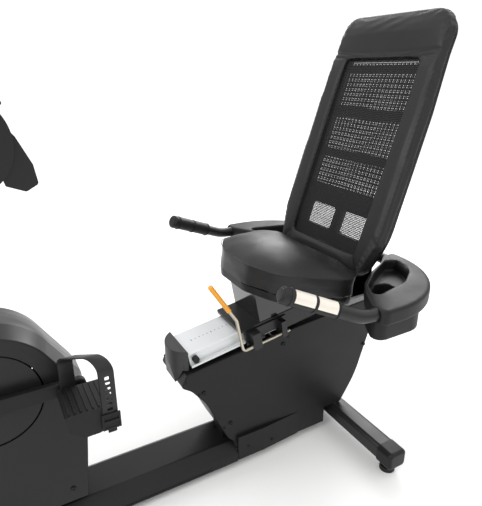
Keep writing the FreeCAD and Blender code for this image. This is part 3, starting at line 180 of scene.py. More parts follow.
def torus(name, centre, axis, major, minor, sides=96):
    deselect()
    turn = Vector(axis).to_track_quat("Z", "Y").to_euler()
    bpy.ops.mesh.primitive_torus_add(major_radius=major, minor_radius=minor, major_segments=sides,
                                     minor_segments=12, location=centre, rotation=turn)
    return started(name)


def choose_faces(piece, test):
    """Enters edit mode with the faces for which test(centre, normal) is true selected."""
    only(piece)
    bpy.ops.object.mode_set(mode="EDIT")
    bpy.ops.mesh.select_mode(type="FACE")
    bpy.ops.mesh.select_all(action="DESELECT")
    bpy.ops.object.mode_set(mode="OBJECT")
    for face in piece.data.polygons:
        face.select = test(face.center, face.normal)
    if not any(face.select for face in piece.data.polygons):
        raise RuntimeError(f"{piece.name}: no face chosen")
    bpy.ops.object.mode_set(mode="EDIT")


def towards(direction, limit=0.9):
    """A test for faces that look along direction."""
    direction = Vector(direction).normalized()
    return lambda centre, normal: normal.dot(direction) > limit


def leave_edit():
    bpy.ops.object.mode_set(mode="OBJECT")


def sink(piece, test, inset, depth):
    """Insets the chosen faces and moves them in along their normal by depth, or out when it is negative."""
    choose_faces(piece, test)
    bpy.ops.mesh.inset(thickness=inset)
    bpy.ops.mesh.extrude_region_shrink_fatten(TRANSFORM_OT_shrink_fatten={"value": -depth})
    leave_edit()


def applied(piece, kind, **settings):
    """Adds a modifier, sets it and applies it."""
    only(piece)
    modifier = piece.modifiers.new(kind.title(), kind)
    for key, value in settings.items():
        setattr(modifier, key, value)
    bpy.ops.object.modifier_apply(modifier=modifier.name)
    return piece


def rounded(piece, width, segments=3, angle=35):
    return applied(piece, "BEVEL", width=width, segments=segments, limit_method="ANGLE",
                   angle_limit=math.radians(angle))


def moved(piece, placing):
    """Puts a placing into the piece's mesh."""
    piece.data.transform(placing)
    piece.data.update()
    return piece


def joined(name, pieces):
    """Makes one piece of several."""
    only(pieces[0])
    for piece in pieces[1:]:
        piece.select_set(True)
    bpy.ops.object.join()
    pieces[0].name = name
    pieces[0].data.name = name
    return pieces[0]


def copied(piece, name, placing):
    """A copy with a mesh of its own, moved by a placing."""
    twin = piece.copy()
    twin.data = piece.data.copy()
    twin.name = name
    twin.data.name = name
    bpy.context.scene.collection.objects.link(twin)
    return moved(twin, placing)


def mirrored(piece, name):
    """The same piece on the rider's other side."""
    twin = copied(piece, name, Matrix.Scale(-1, 4, (0, 1, 0)))
    only(twin)
    bpy.ops.object.mode_set(mode="EDIT")
    bpy.ops.mesh.select_all(action="SELECT")
    bpy.ops.mesh.flip_normals()
    leave_edit()
    return twin


def cad_copy(node, name):
    """A merged copy of a CAD node's mesh, free to be reshaped."""
    source = frame["nodes"][node]
    twin = bpy.data.objects.new(name, source.data.copy())
    twin.data.name = name
    twin.data.materials.clear()
    bpy.context.scene.collection.objects.link(twin)
    only(twin)
    if twin.data.has_custom_normals:
        bpy.ops.mesh.customdata_custom_splitnormals_clear()
    bpy.ops.object.mode_set(mode="EDIT")
    bpy.ops.mesh.select_all(action="SELECT")
    bpy.ops.mesh.remove_doubles(threshold=SAME_POINT)
    leave_edit()
    return twin


def cut_from(piece, cutter):
    """Takes a cutter's shape out of a piece."""
    applied(piece, "BOOLEAN", operation="DIFFERENCE", object=cutter, solver="EXACT")
    bpy.data.objects.remove(cutter)
    return piece


def finished(piece, body, material, slot, *stands_for, angle=35):
    """Shades a piece, gives it its material and lets it ride on a body."""
    only(piece)
    bpy.ops.object.shade_smooth_by_angle(angle=math.radians(angle))
    piece.data.materials.clear()
    piece.data.materials.append(material)
    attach(piece, body)
    if stands_for:
        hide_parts(*stands_for)


def points_of(piece):
    flat = np.empty(len(piece.data.vertices) * 3)
    piece.data.vertices.foreach_get("co", flat)
    return flat.reshape(-1, 3)


def set_points(piece, points):
    piece.data.vertices.foreach_set("co", np.asarray(points, float).ravel())
    piece.data.update()


def within(placing, points):
    """Points of the row frame in a leaning plane's own coordinates."""
    inverse = np.array(placing.inverted())
    return points @ inverse[:3, :3].T + inverse[:3, 3]


def out_of(placing, points):
    """Points of a leaning plane back in the row frame."""
    matrix = np.array(placing)
    return points @ matrix[:3, :3].T + matrix[:3, 3]


def swollen(piece, sizes, held, cap):
    """Lets remeshed padding swell under pressure as cloth, holding some points, and caps how far it goes."""
    rest = points_of(piece)
    group = piece.vertex_groups.new(name="held")
    group.add([int(i) for i in np.nonzero(held(rest))[0]], 1.0, "REPLACE")
    only(piece)
    cloth = piece.modifiers.new("Cloth", "CLOTH")
    cloth.settings.quality = 4
    cloth.settings.mass = 0.3
    cloth.settings.tension_stiffness = 12
    cloth.settings.compression_stiffness = 12
    cloth.settings.use_pressure = True
    cloth.settings.uniform_pressure_force = sizes.pressure
    cloth.settings.vertex_group_mass = group.name
    cloth.settings.effector_weights.gravity = 0
    cloth.point_cache.frame_start = 1
    cloth.point_cache.frame_end = sizes.steps
    for step in range(1, sizes.steps + 1):
        bpy.context.scene.frame_set(step)
    grown = piece.evaluated_get(bpy.context.evaluated_depsgraph_get())
    swelled = np.array([v.co for v in grown.data.vertices])
    shift = swelled - rest
    far = np.linalg.norm(shift, axis=1, keepdims=True)
    piece.modifiers.remove(cloth)
    piece.vertex_groups.clear()
    set_points(piece, rest + shift * np.minimum(1, cap / np.maximum(far, 1e-9)))
    bpy.context.scene.frame_set(1)


def hump(along, middle, reach):
    """1 at the middle, falling smoothly to almost 0 at twice the reach from it."""
    return np.exp(-((along - middle) / reach) ** 2)


def cord_round(name, points, radius, closed=False, sides=8):
    """A round bar along points, such as welting."""
    deselect()
    bpy.ops.curve.primitive_nurbs_path_add()
    line = bpy.context.object
    line.name = name
    line.data.splines.clear()
    run = line.data.splines.new("POLY")
    run.points.add(len(points) - 1)
    for knot, place in zip(run.points, points):
        knot.co = (*place, 1)
    run.use_cyclic_u = closed
    line.location = (0, 0, 0)
    line.data.dimensions = "3D"
    line.data.bevel_depth = radius
    line.data.bevel_resolution = max(1, sides // 4)
    line.data.use_fill_caps = True
    only(line)
    bpy.ops.object.convert(target="MESH")
    return started(name)


# ---------------------------------------------------------------- materials

def add_node(tree, kind, inputs=None, **settings):
    """Adds a node, with its settings and with values or links for its inputs."""
    item = tree.nodes.new(kind)
    for key, value in settings.items():
        setattr(item, key, value)
    for key, value in (inputs or {}).items():
        if isinstance(value, bpy.types.NodeSocket):
            tree.links.new(value, item.inputs[key])
        else:
            item.inputs[key].default_value = value
    return item


def new_material(name, **shader_values):
    """A material with its shader's even values set, and its node tree, shader and object coordinates."""
    material = bpy.data.materials.new(name)
    material.use_nodes = True
    tree = material.node_tree
    shader = tree.nodes["Principled BSDF"]
    for key, value in shader_values.items():
        shader.inputs[key.replace("_", " ").title().replace("Ior", "IOR")].default_value = value
    place = add_node(tree, "ShaderNodeTexCoord").outputs["Object"]
    return material, tree, shader, place


def shade(rgb, factor):
    """The colour made darker or lighter by a factor."""
    return (*[min(1.0, c * factor) for c in rgb[:3]], 1)


def mottled(tree, shader, place, rgb, spread, patch):
    """Colour that wanders a little either side of rgb, in patches of the given size."""
    noise = add_node(tree, "ShaderNodeTexNoise", {"Vector": place, "Scale": 1 / patch, "Detail": 4.0})
    mix = add_node(tree, "ShaderNodeMix", {"Factor": noise.outputs["Fac"]}, data_type="RGBA")
    mix.inputs[6].default_value = shade(rgb, 1 - spread)
    mix.inputs[7].default_value = shade(rgb, 1 + spread)
    tree.links.new(mix.outputs[2], shader.inputs["Base Color"])
    return noise


def uneven_gloss(tree, shader, source, low, high):
    """Roughness that wanders between low and high with a source."""
    ramp = add_node(tree, "ShaderNodeMapRange",
                    {"Value": source, "From Min": 0.3, "From Max": 0.7, "To Min": low, "To Max": high})
    tree.links.new(ramp.outputs["Result"], shader.inputs["Roughness"])


def raised(tree, shader, source, depth, strength):
    """Relief of the given depth from a source between 0 and 1."""
    relief = add_node(tree, "ShaderNodeBump", {"Height": source, "Distance": depth, "Strength": strength})
    tree.links.new(relief.outputs["Normal"], shader.inputs["Normal"])


def moulded_abs(name, rgb, gloss=0.42, grain=1.1 * MM):
    """ABS shell with a fine spark-eroded grain: it scatters highlights softly and hides scratches."""
    material, tree, shader, place = new_material(name, ior=1.54, specular_ior_level=0.22)
    patches = mottled(tree, shader, place, rgb, 0.07, 60 * MM)
    uneven_gloss(tree, shader, patches.outputs["Fac"], gloss - 0.04, gloss + 0.05)
    grains = add_node(tree, "ShaderNodeTexNoise", {"Vector": place, "Scale": 1 / grain, "Detail": 2.0})
    raised(tree, shader, grains.outputs["Fac"], 0.05 * MM, 0.6)
    return material


def powder_coat(name, rgb):
    """Powder-coated steel: a slight orange peel under an even satin skin."""
    material, tree, shader, place = new_material(name, ior=1.5, specular_ior_level=0.35,
                                                 coat_weight=0.08, coat_roughness=0.25)
    patches = mottled(tree, shader, place, rgb, 0.06, 90 * MM)
    uneven_gloss(tree, shader, patches.outputs["Fac"], 0.32, 0.42)
    peel = add_node(tree, "ShaderNodeTexNoise", {"Vector": place, "Scale": 1 / (2.2 * MM), "Detail": 1.0})
    raised(tree, shader, peel.outputs["Fac"], 0.06 * MM, 0.5)
    return material


def bare_metal(name, rgb, roughness, streak):
    """Drawn or machined metal: fine lines along the direction it was worked in."""
    material, tree, shader, place = new_material(name, metallic=1.0)
    stretched = add_node(tree, "ShaderNodeMapping", {"Vector": place, "Scale": streak})
    lines = add_node(tree, "ShaderNodeTexNoise",
                     {"Vector": stretched.outputs["Vector"], "Scale": 1 / (1.5 * MM), "Detail": 3.0})
    mottled(tree, shader, place, rgb, 0.06, 40 * MM)
    uneven_gloss(tree, shader, lines.outputs["Fac"], roughness - 0.06, roughness + 0.08)
    raised(tree, shader, lines.outputs["Fac"], 0.02 * MM, 0.5)
    return material


def satin_plate(name, rgb):
    """Satin nickel of the pulse plates: warm, pale and nearly even, worn a little brighter in patches."""
    material, tree, shader, place = new_material(name, metallic=0.35)
    patches = mottled(tree, shader, place, rgb, 0.05, 18 * MM)
    uneven_gloss(tree, shader, patches.outputs["Fac"], 0.36, 0.5)
    raised(tree, shader, patches.outputs["Fac"], 0.03 * MM, 0.3)
    return material


def anodised_rail(name, rgb):
    """Clear-anodised aluminium: pale and satin, with faint drawing lines along the rail."""
    material, tree, shader, place = new_material(name, metallic=0.55, specular_ior_level=0.5)
    turned_place = add_node(tree, "ShaderNodeMapping",
                            {"Vector": place, "Rotation": (0, RAIL_SLOPE, 0), "Scale": (0.02, 1, 1)})
    lines = add_node(tree, "ShaderNodeTexNoise",
                     {"Vector": turned_place.outputs["Vector"], "Scale": 1 / (1.2 * MM), "Detail": 2.0})
    mottled(tree, shader, place, rgb, 0.03, 50 * MM)
    uneven_gloss(tree, shader, lines.outputs["Fac"], 0.34, 0.44)
    raised(tree, shader, lines.outputs["Fac"], 0.015 * MM, 0.4)
    return material


def leatherette(name, rgb, gloss=0.42):
    """Expanded vinyl with a pebbled grain: a broad soft sheen, broken by cells about 1.6 mm across.

    The grain of such vinyl is nearer 1 mm, and is drawn coarser so that it shows.
    """
    material, tree, shader, place = new_material(name, ior=1.5, specular_ior_level=0.38)
    patches = mottled(tree, shader, place, rgb, 0.10, 70 * MM)
    uneven_gloss(tree, shader, patches.outputs["Fac"], gloss - 0.05, gloss + 0.06)
    cells = add_node(tree, "ShaderNodeTexVoronoi", {"Vector": place, "Scale": 1 / (1.6 * MM)},
                     feature="DISTANCE_TO_EDGE")
    grain = add_node(tree, "ShaderNodeMapRange", {"Value": cells.outputs["Distance"], "From Max": 0.25})
    raised(tree, shader, grain.outputs["Result"], 0.10 * MM, 0.5)
    return material


def knitted_thread(name, rgb):
    """Coated polyester thread of the netting: dull, with strands twisted round each other.

    The twist is drawn coarse, about 2.5 mm a turn along a thread, so that it shows.
    """
    material, tree, shader, place = new_material(name, roughness=0.7, specular_ior_level=0.3)
    mottled(tree, shader, place, rgb, 0.15, 8 * MM)
    twist = add_node(tree, "ShaderNodeTexWave", {"Vector": place, "Scale": 1 / (4 * MM), "Distortion": 1.0},
                     bands_direction="DIAGONAL")
    raised(tree, shader, twist.outputs["Fac"], 0.1 * MM, 0.6)
    return material


def moulded_rubber(name, rgb, roughness=0.62):
    """Moulded rubber: matt, faintly uneven, with a trace of bloom."""
    material, tree, shader, place = new_material(name, ior=1.52, specular_ior_level=0.35)
    patches = mottled(tree, shader, place, rgb, 0.14, 25 * MM)
    uneven_gloss(tree, shader, patches.outputs["Fac"], roughness - 0.06, roughness + 0.08)
    grain = add_node(tree, "ShaderNodeTexNoise", {"Vector": place, "Scale": 1 / (0.9 * MM), "Detail": 2.0})
    raised(tree, shader, grain.outputs["Fac"], 0.05 * MM, 0.7)
    return material


def dipped_vinyl(name, rgb):
    """Plastisol dipped over the lever: thick, glossy and slightly wavy."""
    material, tree, shader, place = new_material(name, ior=1.5, coat_weight=0.3, coat_roughness=0.15)
    patches = mottled(tree, shader, place, rgb, 0.06, 12 * MM)
    uneven_gloss(tree, shader, patches.outputs["Fac"], 0.3, 0.4)
    raised(tree, shader, patches.outputs["Fac"], 0.2 * MM, 0.4)
    return material


def polished_plastic(name, rgb, gloss=0.12):
    """High-gloss plastic: it mirrors the room, with a slight flow ripple from the mould."""
    material, tree, shader, place = new_material(name, ior=1.53, coat_weight=0.4, coat_roughness=0.05)
    patches = mottled(tree, shader, place, rgb, 0.05, 80 * MM)
    uneven_gloss(tree, shader, patches.outputs["Fac"], gloss - 0.03, gloss + 0.05)
    raised(tree, shader, patches.outputs["Fac"], 0.3 * MM, 0.15)
    return material


def cast_iron(name, rgb):
    """Cast iron: coarse sand grain under a thin grey paint."""
    material, tree, shader, place = new_material(name, metallic=0.8)
    mottled(tree, shader, place, rgb, 0.12, 15 * MM)
    grain = add_node(tree, "ShaderNodeTexNoise", {"Vector": place, "Scale": 1 / (2.5 * MM), "Detail": 5.0})
    uneven_gloss(tree, shader, grain.outputs["Fac"], 0.4, 0.6)
    raised(tree, shader, grain.outputs["Fac"], 0.15 * MM, 0.7)
    return material


def studio_paper(name, rgb):
    """Matt white paper of the studio floor, with a barely visible tooth."""
    material, tree, shader, place = new_material(name, roughness=0.85, specular_ior_level=0.2)
    mottled(tree, shader, place, rgb, 0.01, 400 * MM)
    tooth = add_node(tree, "ShaderNodeTexNoise", {"Vector": place, "Scale": 1 / (3 * MM), "Detail": 2.0})
    raised(tree, shader, tooth.outputs["Fac"], 0.05 * MM, 0.3)
    return material


made = {}


def finish(name):
    """The material of that name, made once from the colours that the user chose."""
    if name not in made:
        made[name] = FINISHES[name](bpy.context.scene.bike_colours)
    return made[name]


FINISHES = {
    "shell": lambda c: moulded_abs("moulded_abs_shell", c.shell),
    "housing": lambda c: moulded_abs("moulded_abs_housing", c.housing, 0.34),
    # The crown's lighter grey is painted top light, for the light from above on the housing's upward band.
    "crown": lambda c: moulded_abs("moulded_abs_crown", c.crown, 0.36),
    "holder": lambda c: moulded_abs("moulded_abs_holder", shade(c.shell, 1.15), 0.48, 1.4 * MM),
    # The nose's lighter grey, scaled from the crown's, is a painted highlight for the light on its front
    # face.
    "nose": lambda c: moulded_abs("moulded_abs_nose", shade(c.crown, 0.55), 0.40),
    "pedal": lambda c: moulded_abs("glass_filled_nylon", shade(c.shell, 0.95), 0.5, 1.6 * MM),
    "frame": lambda c: powder_coat("powder_coated_steel", c.steel),
    "rail": lambda c: anodised_rail("anodised_aluminium", c.rail),
    "zinc": lambda c: bare_metal("zinc_plated_steel", linear("#bdb6a6"), 0.30, (1, 1, 0.2)),
    "dark_steel": lambda c: bare_metal("blackened_steel", linear("#2a2a2b"), 0.38, (1, 0.1, 1)),
    "pulse": lambda c: satin_plate("satin_nickel_plate", linear("#e6dfd4")),
    "iron": lambda c: cast_iron("cast_iron", linear("#6f7072")),
    "seat": lambda c: leatherette("seat_leatherette", c.seat),
    "back": lambda c: leatherette("back_leatherette", c.back, 0.46),
    "net": lambda c: knitted_thread("polyester_net", linear("#1f1f21")),
    "rubber": lambda c: moulded_rubber("moulded_rubber", linear("#121213")),
    "grip": lambda c: moulded_rubber("soft_grip_rubber", linear("#141415"), 0.5),
    "strap": lambda c: moulded_rubber("strap_rubber", linear("#171718"), 0.45),
    "lever": lambda c: dipped_vinyl("dipped_vinyl", c.lever),
    "gloss": lambda c: polished_plastic("gloss_black_abs", linear("#0e0e0f")),
    "screen": lambda c: polished_plastic("display_window", linear("#0c0d10"), 0.06),
    "green": lambda c: polished_plastic("green_key_cap", linear("#2c9a4b"), 0.3),
    "red": lambda c: polished_plastic("red_key_cap", linear("#c2271d"), 0.3),
    "paper": lambda c: studio_paper("studio_paper", linear("#f4f4f3")),
}

DRESS = {
    "shell": ["beam_cover", "stabilizer_end_caps", "fairing_left", "fairing_right", "backrest_shell",
              "seat_pan"],
    "housing": ["housing_left", "housing_right", "crank_discs", "console_body"],
    "crown": ["housing_crown"],
    "nose": ["fairing_nose"],
    "holder": ["cup_holder_left", "cup_holder_right"],
    "gloss": ["seat_riser"],
    "frame": ["base_beam", "rear_stabilizer", "front_stabilizer", "seat_post_frame", "drive_frame",
              "console_mast", "front_handlebar", "handle_tube", "lever_bracket", "carriage_body"],
    "rail": ["seat_rail"],
    "dark_steel": ["lock_rack", "crank_bearings", "crank_axle", "pedal_spindles", "flywheel_axle",
                   "roller_front", "roller_rear", "cover_screws", "brake_magnet"],
    "zinc": ["lock_lever"],
    "iron": ["flywheel"],
    "pedal": ["pedal_left", "pedal_right", "crank_arm_left", "crank_arm_right", "drive_pulley",
              "idler_pulley", "transport_wheel_left", "transport_wheel_right"],
    "strap": ["strap_left", "strap_right"],
    "rubber": ["levelling_feet", "rail_stops", "drive_belt"],
    "grip": ["hand_grips", "front_grips"],
    "pulse": ["pulse_plates"],
    "lever": ["lever_grip"],
    "screen": ["console_screen"],
    "green": ["start_button"],
    "red": ["stop_button"],
    "seat": ["seat_cushion"],
    "back": ["backrest_pad"],
    "net": ["backrest_mesh"],
}
# Width, in millimetres, of the rounded edge that each of these gets.
SOFT_EDGES = {"housing_crown": 1.2, "beam_cover": 1.5, "seat_riser": 1.5, "crank_discs": 1.0,
              "console_body": 2.0, "carriage_body": 0.6, "lever_bracket": 0.6, "seat_rail": 0.6,
              "backrest_shell": 1.5, "seat_pan": 4.0, "rear_stabilizer": 0.5, "front_stabilizer": 0.5,
              "fairing_nose": 1.0}


class BIKE_OT_dress(bpy.types.Operator):
    """Gives every CAD node its material, and the sharp moulded ones a small rounded edge"""
    bl_idname = "bike.dress"
    bl_label = "Dress the CAD nodes"

    def execute(self, context):
        dressed = set()
        for name, nodes in DRESS.items():
            for node in nodes:
                piece = frame["nodes"][node]
                piece.data.materials.clear()
                piece.data.materials.append(finish(name))
                if node in SOFT_EDGES:
                    self.soften(piece, SOFT_EDGES[node] * MM)
                dressed.add(node)
        missing = set(frame["nodes"]) - dressed
        if missing:
            raise RuntimeError(f"no material for {sorted(missing)}")
        return {"FINISHED"}

    def soften(self, piece, width):
        """Rounds a CAD node's sharp edges with live modifiers, which leave its mesh as it is."""
        weld = piece.modifiers.new("Weld", "WELD")
        weld.merge_threshold = SAME_POINT
        bevel = piece.modifiers.new("Bevel", "BEVEL")
        bevel.width = width
        bevel.segments = 2
        bevel.limit_method = "ANGLE"
        bevel.angle_limit = math.radians(40)


# ---------------------------------------------------------------- seat

SEAT_CENTRE = np.array([-10 * MM, 0])
SEAT_TOP = 92.3 * MM
SEAT_CROWN = 33 * MM
SEAT_ROUNDING = 9 * MM
SEAT_WAIST = 0.012
SEAT_SECTORS = np.linspace(-math.pi, math.pi, 121)
SEAT_SECTOR_HALF = 0.06
SEAT_UNDERSIDE = 6 * MM


class BIKE_OT_seat_cushion(bpy.types.Operator):
    """Makes the seat cushion: an upright band, a crowned top panel and the seam between them"""
    bl_idname = "bike.seat_cushion"
    bl_label = "Seat cushion"

    def execute(self, context):
        sizes = context.scene.bike_sizes
        cushion = cad_copy("seat_cushion", "seat_cushion_soft")
        applied(cushion, "REMESH", mode="VOXEL", voxel_size=sizes.voxel)
        points = within(SEAT, points_of(cushion))
        offset = points[:, :2] - SEAT_CENTRE
        angle = np.arctan2(offset[:, 1], offset[:, 0])
        reach = np.linalg.norm(offset, axis=1)
        low = points[:, 2] < sizes.band * 0.6
        rim = np.array([reach[low & (np.abs(np.angle(np.exp(1j * (angle - s)))) < SEAT_SECTOR_HALF)].max()
                        for s in SEAT_SECTORS])
        share = np.clip(reach / np.interp(angle, SEAT_SECTORS, rim), 0, 1)
        crown = SEAT_CROWN * (1 - share ** 2.2) + SEAT_ROUNDING * (1 - share ** 7)
        above = np.clip((points[:, 2] - sizes.band) / (SEAT_TOP - sizes.band), 0, 1)
        points[:, 2] = np.where(points[:, 2] > sizes.band, sizes.band + above * crown, points[:, 2])
        band_middle = np.clip(1 - np.abs(points[:, 2] / sizes.band - 0.5) * 2, 0, 1)
        points[:, :2] -= offset * (SEAT_WAIST * band_middle * (share > 0.9))[:, None]
        set_points(cushion, out_of(SEAT, points))

        def held(rest):
            local = within(SEAT, rest)
            at_seam = (np.abs(local[:, 2] - sizes.band) < 3 * MM) & (share > 0.97)
            return (local[:, 2] < SEAT_UNDERSIDE) | at_seam

        swollen(cushion, sizes, held, 5 * MM)
        applied(cushion, "SUBSURF", levels=1, render_levels=1)
        finished(cushion, "carriage", finish("seat"), "seat_vinyl", "seat_cushion", angle=60)
        self.seam(sizes, rim)
        return {"FINISHED"}

    def seam(self, sizes, rim):
        """A fine welt where the top panel meets the band."""
        height = sizes.band + 0.5 * MM
        ring = [Vector((SEAT_CENTRE[0] + r * math.cos(s), SEAT_CENTRE[1] + r * math.sin(s), height))
                for s, r in zip(SEAT_SECTORS[:-1], rim[:-1])]
        welt = cord_round("seat_welt", [SEAT @ p for p in ring], 1.3 * MM, closed=True)
        finished(welt, "carriage", finish("seat"), "seat_vinyl")


# ---------------------------------------------------------------- backrest

# Heights up the back, half widths across it and depths into it.
HEAD_LOW = 535 * MM
HEAD_HIGH = 652 * MM
HEAD_HALF = 196 * MM
HEAD_SEAM = 534 * MM
HEAD_FOLDS = 628 * MM
BOLSTER_LINE = 176 * MM
BOLSTER_HALF = 40 * MM
BOLSTER_TOP = 530 * MM
PAD_FRONT = 14 * MM
PAD_HELD = 25 * MM


class BIKE_OT_backrest_pad(bpy.types.Operator):
    """Makes the backrest's upholstered frame and headrest, padded and drawn in at their seams"""
    bl_idname = "bike.backrest_pad"
    bl_label = "Backrest padding"

    def execute(self, context):
        sizes = context.scene.bike_sizes
        pad = cad_copy("backrest_pad", "backrest_pad_soft")
        applied(pad, "REMESH", mode="VOXEL", voxel_size=sizes.voxel)
        points = within(BACK, points_of(pad))
        depth, across, height = points[:, 0], points[:, 1], points[:, 2]
        aside = np.abs(across)
        front = depth < PAD_FRONT
        headrest = np.clip((height - HEAD_LOW) / (60 * MM), 0, 1)
        headrest *= np.clip((HEAD_HIGH - height) / (40 * MM), 0, 1)
        crown = headrest * np.clip(1 - (aside / (190 * MM)) ** 4, 0, 1)
        folds = np.sin((across * 0.9 + height * 2.1) / (11 * MM)) * hump(height, HEAD_FOLDS, 22 * MM)
        folds *= hump(across, 0, 80 * MM)
        seam = hump(height, HEAD_SEAM + 14 * MM * (aside / HEAD_HALF) ** 2, 3.5 * MM)
        bolster = np.clip(1 - ((aside - BOLSTER_LINE) / BOLSTER_HALF) ** 2, 0, 1) * (height < BOLSTER_TOP)
        points[:, 0] -= front * (9 * MM * crown + 1.6 * MM * folds * headrest + 4 * MM * bolster
                                 - 4 * MM * seam)
        set_points(pad, out_of(BACK, points))

        def held(rest):
            return within(BACK, rest)[:, 0] > PAD_HELD

        swollen(pad, sizes, held, 4 * MM)
        applied(pad, "SUBSURF", levels=1, render_levels=1)
        finished(pad, "carriage", finish("back"), "back_vinyl", "backrest_pad", angle=60)
        return {"FINISHED"}


class BIKE_OT_backrest_nets(bpy.types.Operator):
    """Makes the netting inside the backrest's frame, and a second layer over its board"""
    bl_idname = "bike.backrest_nets"
    bl_label = "Backrest netting"

    def execute(self, context):
        sizes = context.scene.bike_sizes
        front = self.net("backrest_net", wide=279 * MM, low=0.5 * MM, high=526.5 * MM, depth=10 * MM,
                         cell=sizes.net_cell, thread=sizes.thread)
        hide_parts("backrest_mesh")
        self.net("backrest_net_inner", wide=274 * MM, low=128 * MM, high=524 * MM, depth=24 * MM,
                 cell=sizes.net_cell * 1.52, thread=sizes.thread * 1.4)
        return {"FINISHED"}

    def net(self, name, wide, low, high, depth, cell, thread):
        """One layer from low to high up the back, wavy where it was pulled taut unevenly.

        The knitted net's own holes are finer than the cell, which is as coarse as it needs to be to show.
        """
        tall = high - low
        deselect()
        bpy.ops.mesh.primitive_grid_add(x_subdivisions=round(wide / cell), y_subdivisions=round(tall / cell),
                                        size=1)
        net = started(name)
        points = points_of(net)
        y, s = points[:, 0] * wide, low + (points[:, 1] + 0.5) * tall
        edge = np.sin(np.pi * (y / wide + 0.5)) * np.sin(np.pi * (s - low) / tall)
        ripple = 1.3 * MM * edge * np.sin(s / (42 * MM) + 1.6 * np.sin(y / (60 * MM)) + depth / MM)
        spread = np.column_stack([depth + 2.5 * MM * edge, y + ripple, s + ripple * 0.8])
        set_points(net, out_of(BACK, spread))
        choose_faces(net, lambda centre, normal: True)
        bpy.ops.mesh.inset(thickness=thread / 2, use_individual=True)
        bpy.ops.mesh.delete(type="FACE")
        leave_edit()
        applied(net, "SOLIDIFY", thickness=0.6 * MM, offset=0)
        finished(net, "carriage", finish("net"), "mesh_fabric")
        return net


# ---------------------------------------------------------------- handles

# Where the right handle's grip ends in front, and where its tube bends behind; the left handle mirrors it.
HANDLE_HALF = 350 * MM
HANDLE_HEIGHT = 572 * MM
GRIP_START = Vector((FOOT_X - 388 * MM, 303.5 * MM, 651 * MM))
GRIP_BEND = Vector((FOOT_X - 204 * MM, HANDLE_HALF, HANDLE_HEIGHT))
SIDES = {"left": -1, "right": 1}


class BIKE_OT_cup_holders(bpy.types.Operator):
    """Makes the two moulded cup holders, rounded over all their edges"""
    bl_idname = "bike.cup_holders"
    bl_label = "Cup holders"

    def execute(self, context):
        for side, across in SIDES.items():
            node = f"cup_holder_{side}"
            holder = joined(f"{node}_moulded", [cad_copy(node, f"{node}_moulded"), self.sleeve(across)])
            applied(holder, "REMESH", mode="VOXEL", voxel_size=2.6 * MM)
            applied(holder, "SMOOTH", factor=0.5, iterations=9)
            finished(holder, "carriage", finish("holder"), "holder_plastic", node, angle=60)
        return {"FINISHED"}

    def sleeve(self, across):
        """Fills the holder's tunnel round the handle's bend, where the moulding closes over the tube."""
        bend, middle_x, middle_y = 215 * MM, FOOT_X - 110 * MM, 135 * MM
        turn = [math.radians(9 * step) for step in range(11)]
        run = [(FOOT_X - 166 * MM, HANDLE_HALF)]
        run += [(middle_x + bend * math.sin(t), middle_y + bend * math.cos(t)) for t in turn]
        run += [(middle_x + bend, 116 * MM)]
        return cord_round("sleeve", [(x, y * across, HANDLE_HEIGHT) for x, y in run], 17.6 * MM, sides=24)


class BIKE_OT_grip_ends(bpy.types.Operator):
    """Makes the hand grips' domed end caps and the three collars along each grip"""
    bl_idname = "bike.grip_ends"
    bl_label = "Grip ends"

    def execute(self, context):
        for side, across in SIDES.items():
            start, bend = [Vector((place.x, place.y * across, place.z)) for place in (GRIP_START, GRIP_BEND)]
            along = (bend - start).normalized()
            cap = turned(f"grip_cap_{side}", start - along * 3 * MM, along, 19.6 * MM, 14 * MM)
            sink(cap, towards(-along), 5 * MM, -4 * MM)
            rounded(cap, 3 * MM, 4)
            collars = [torus(f"collar_{number}", start + along * reach * MM, along, 19.3 * MM, 1.6 * MM)
                       for number, reach in enumerate((9, 69.8, 131))]
            end = joined(f"grip_end_{side}", [cap, *collars])
            finished(end, "carriage", finish("grip"), "grip_rubber")
        return {"FINISHED"}


# ---------------------------------------------------------------- pedals

# Millimetres up from the strap's lowest point.
STRAP_HOLES = 7
FIRST_HOLE = 44
HOLE_PITCH = 12
BUCKLE_HEIGHT = 16


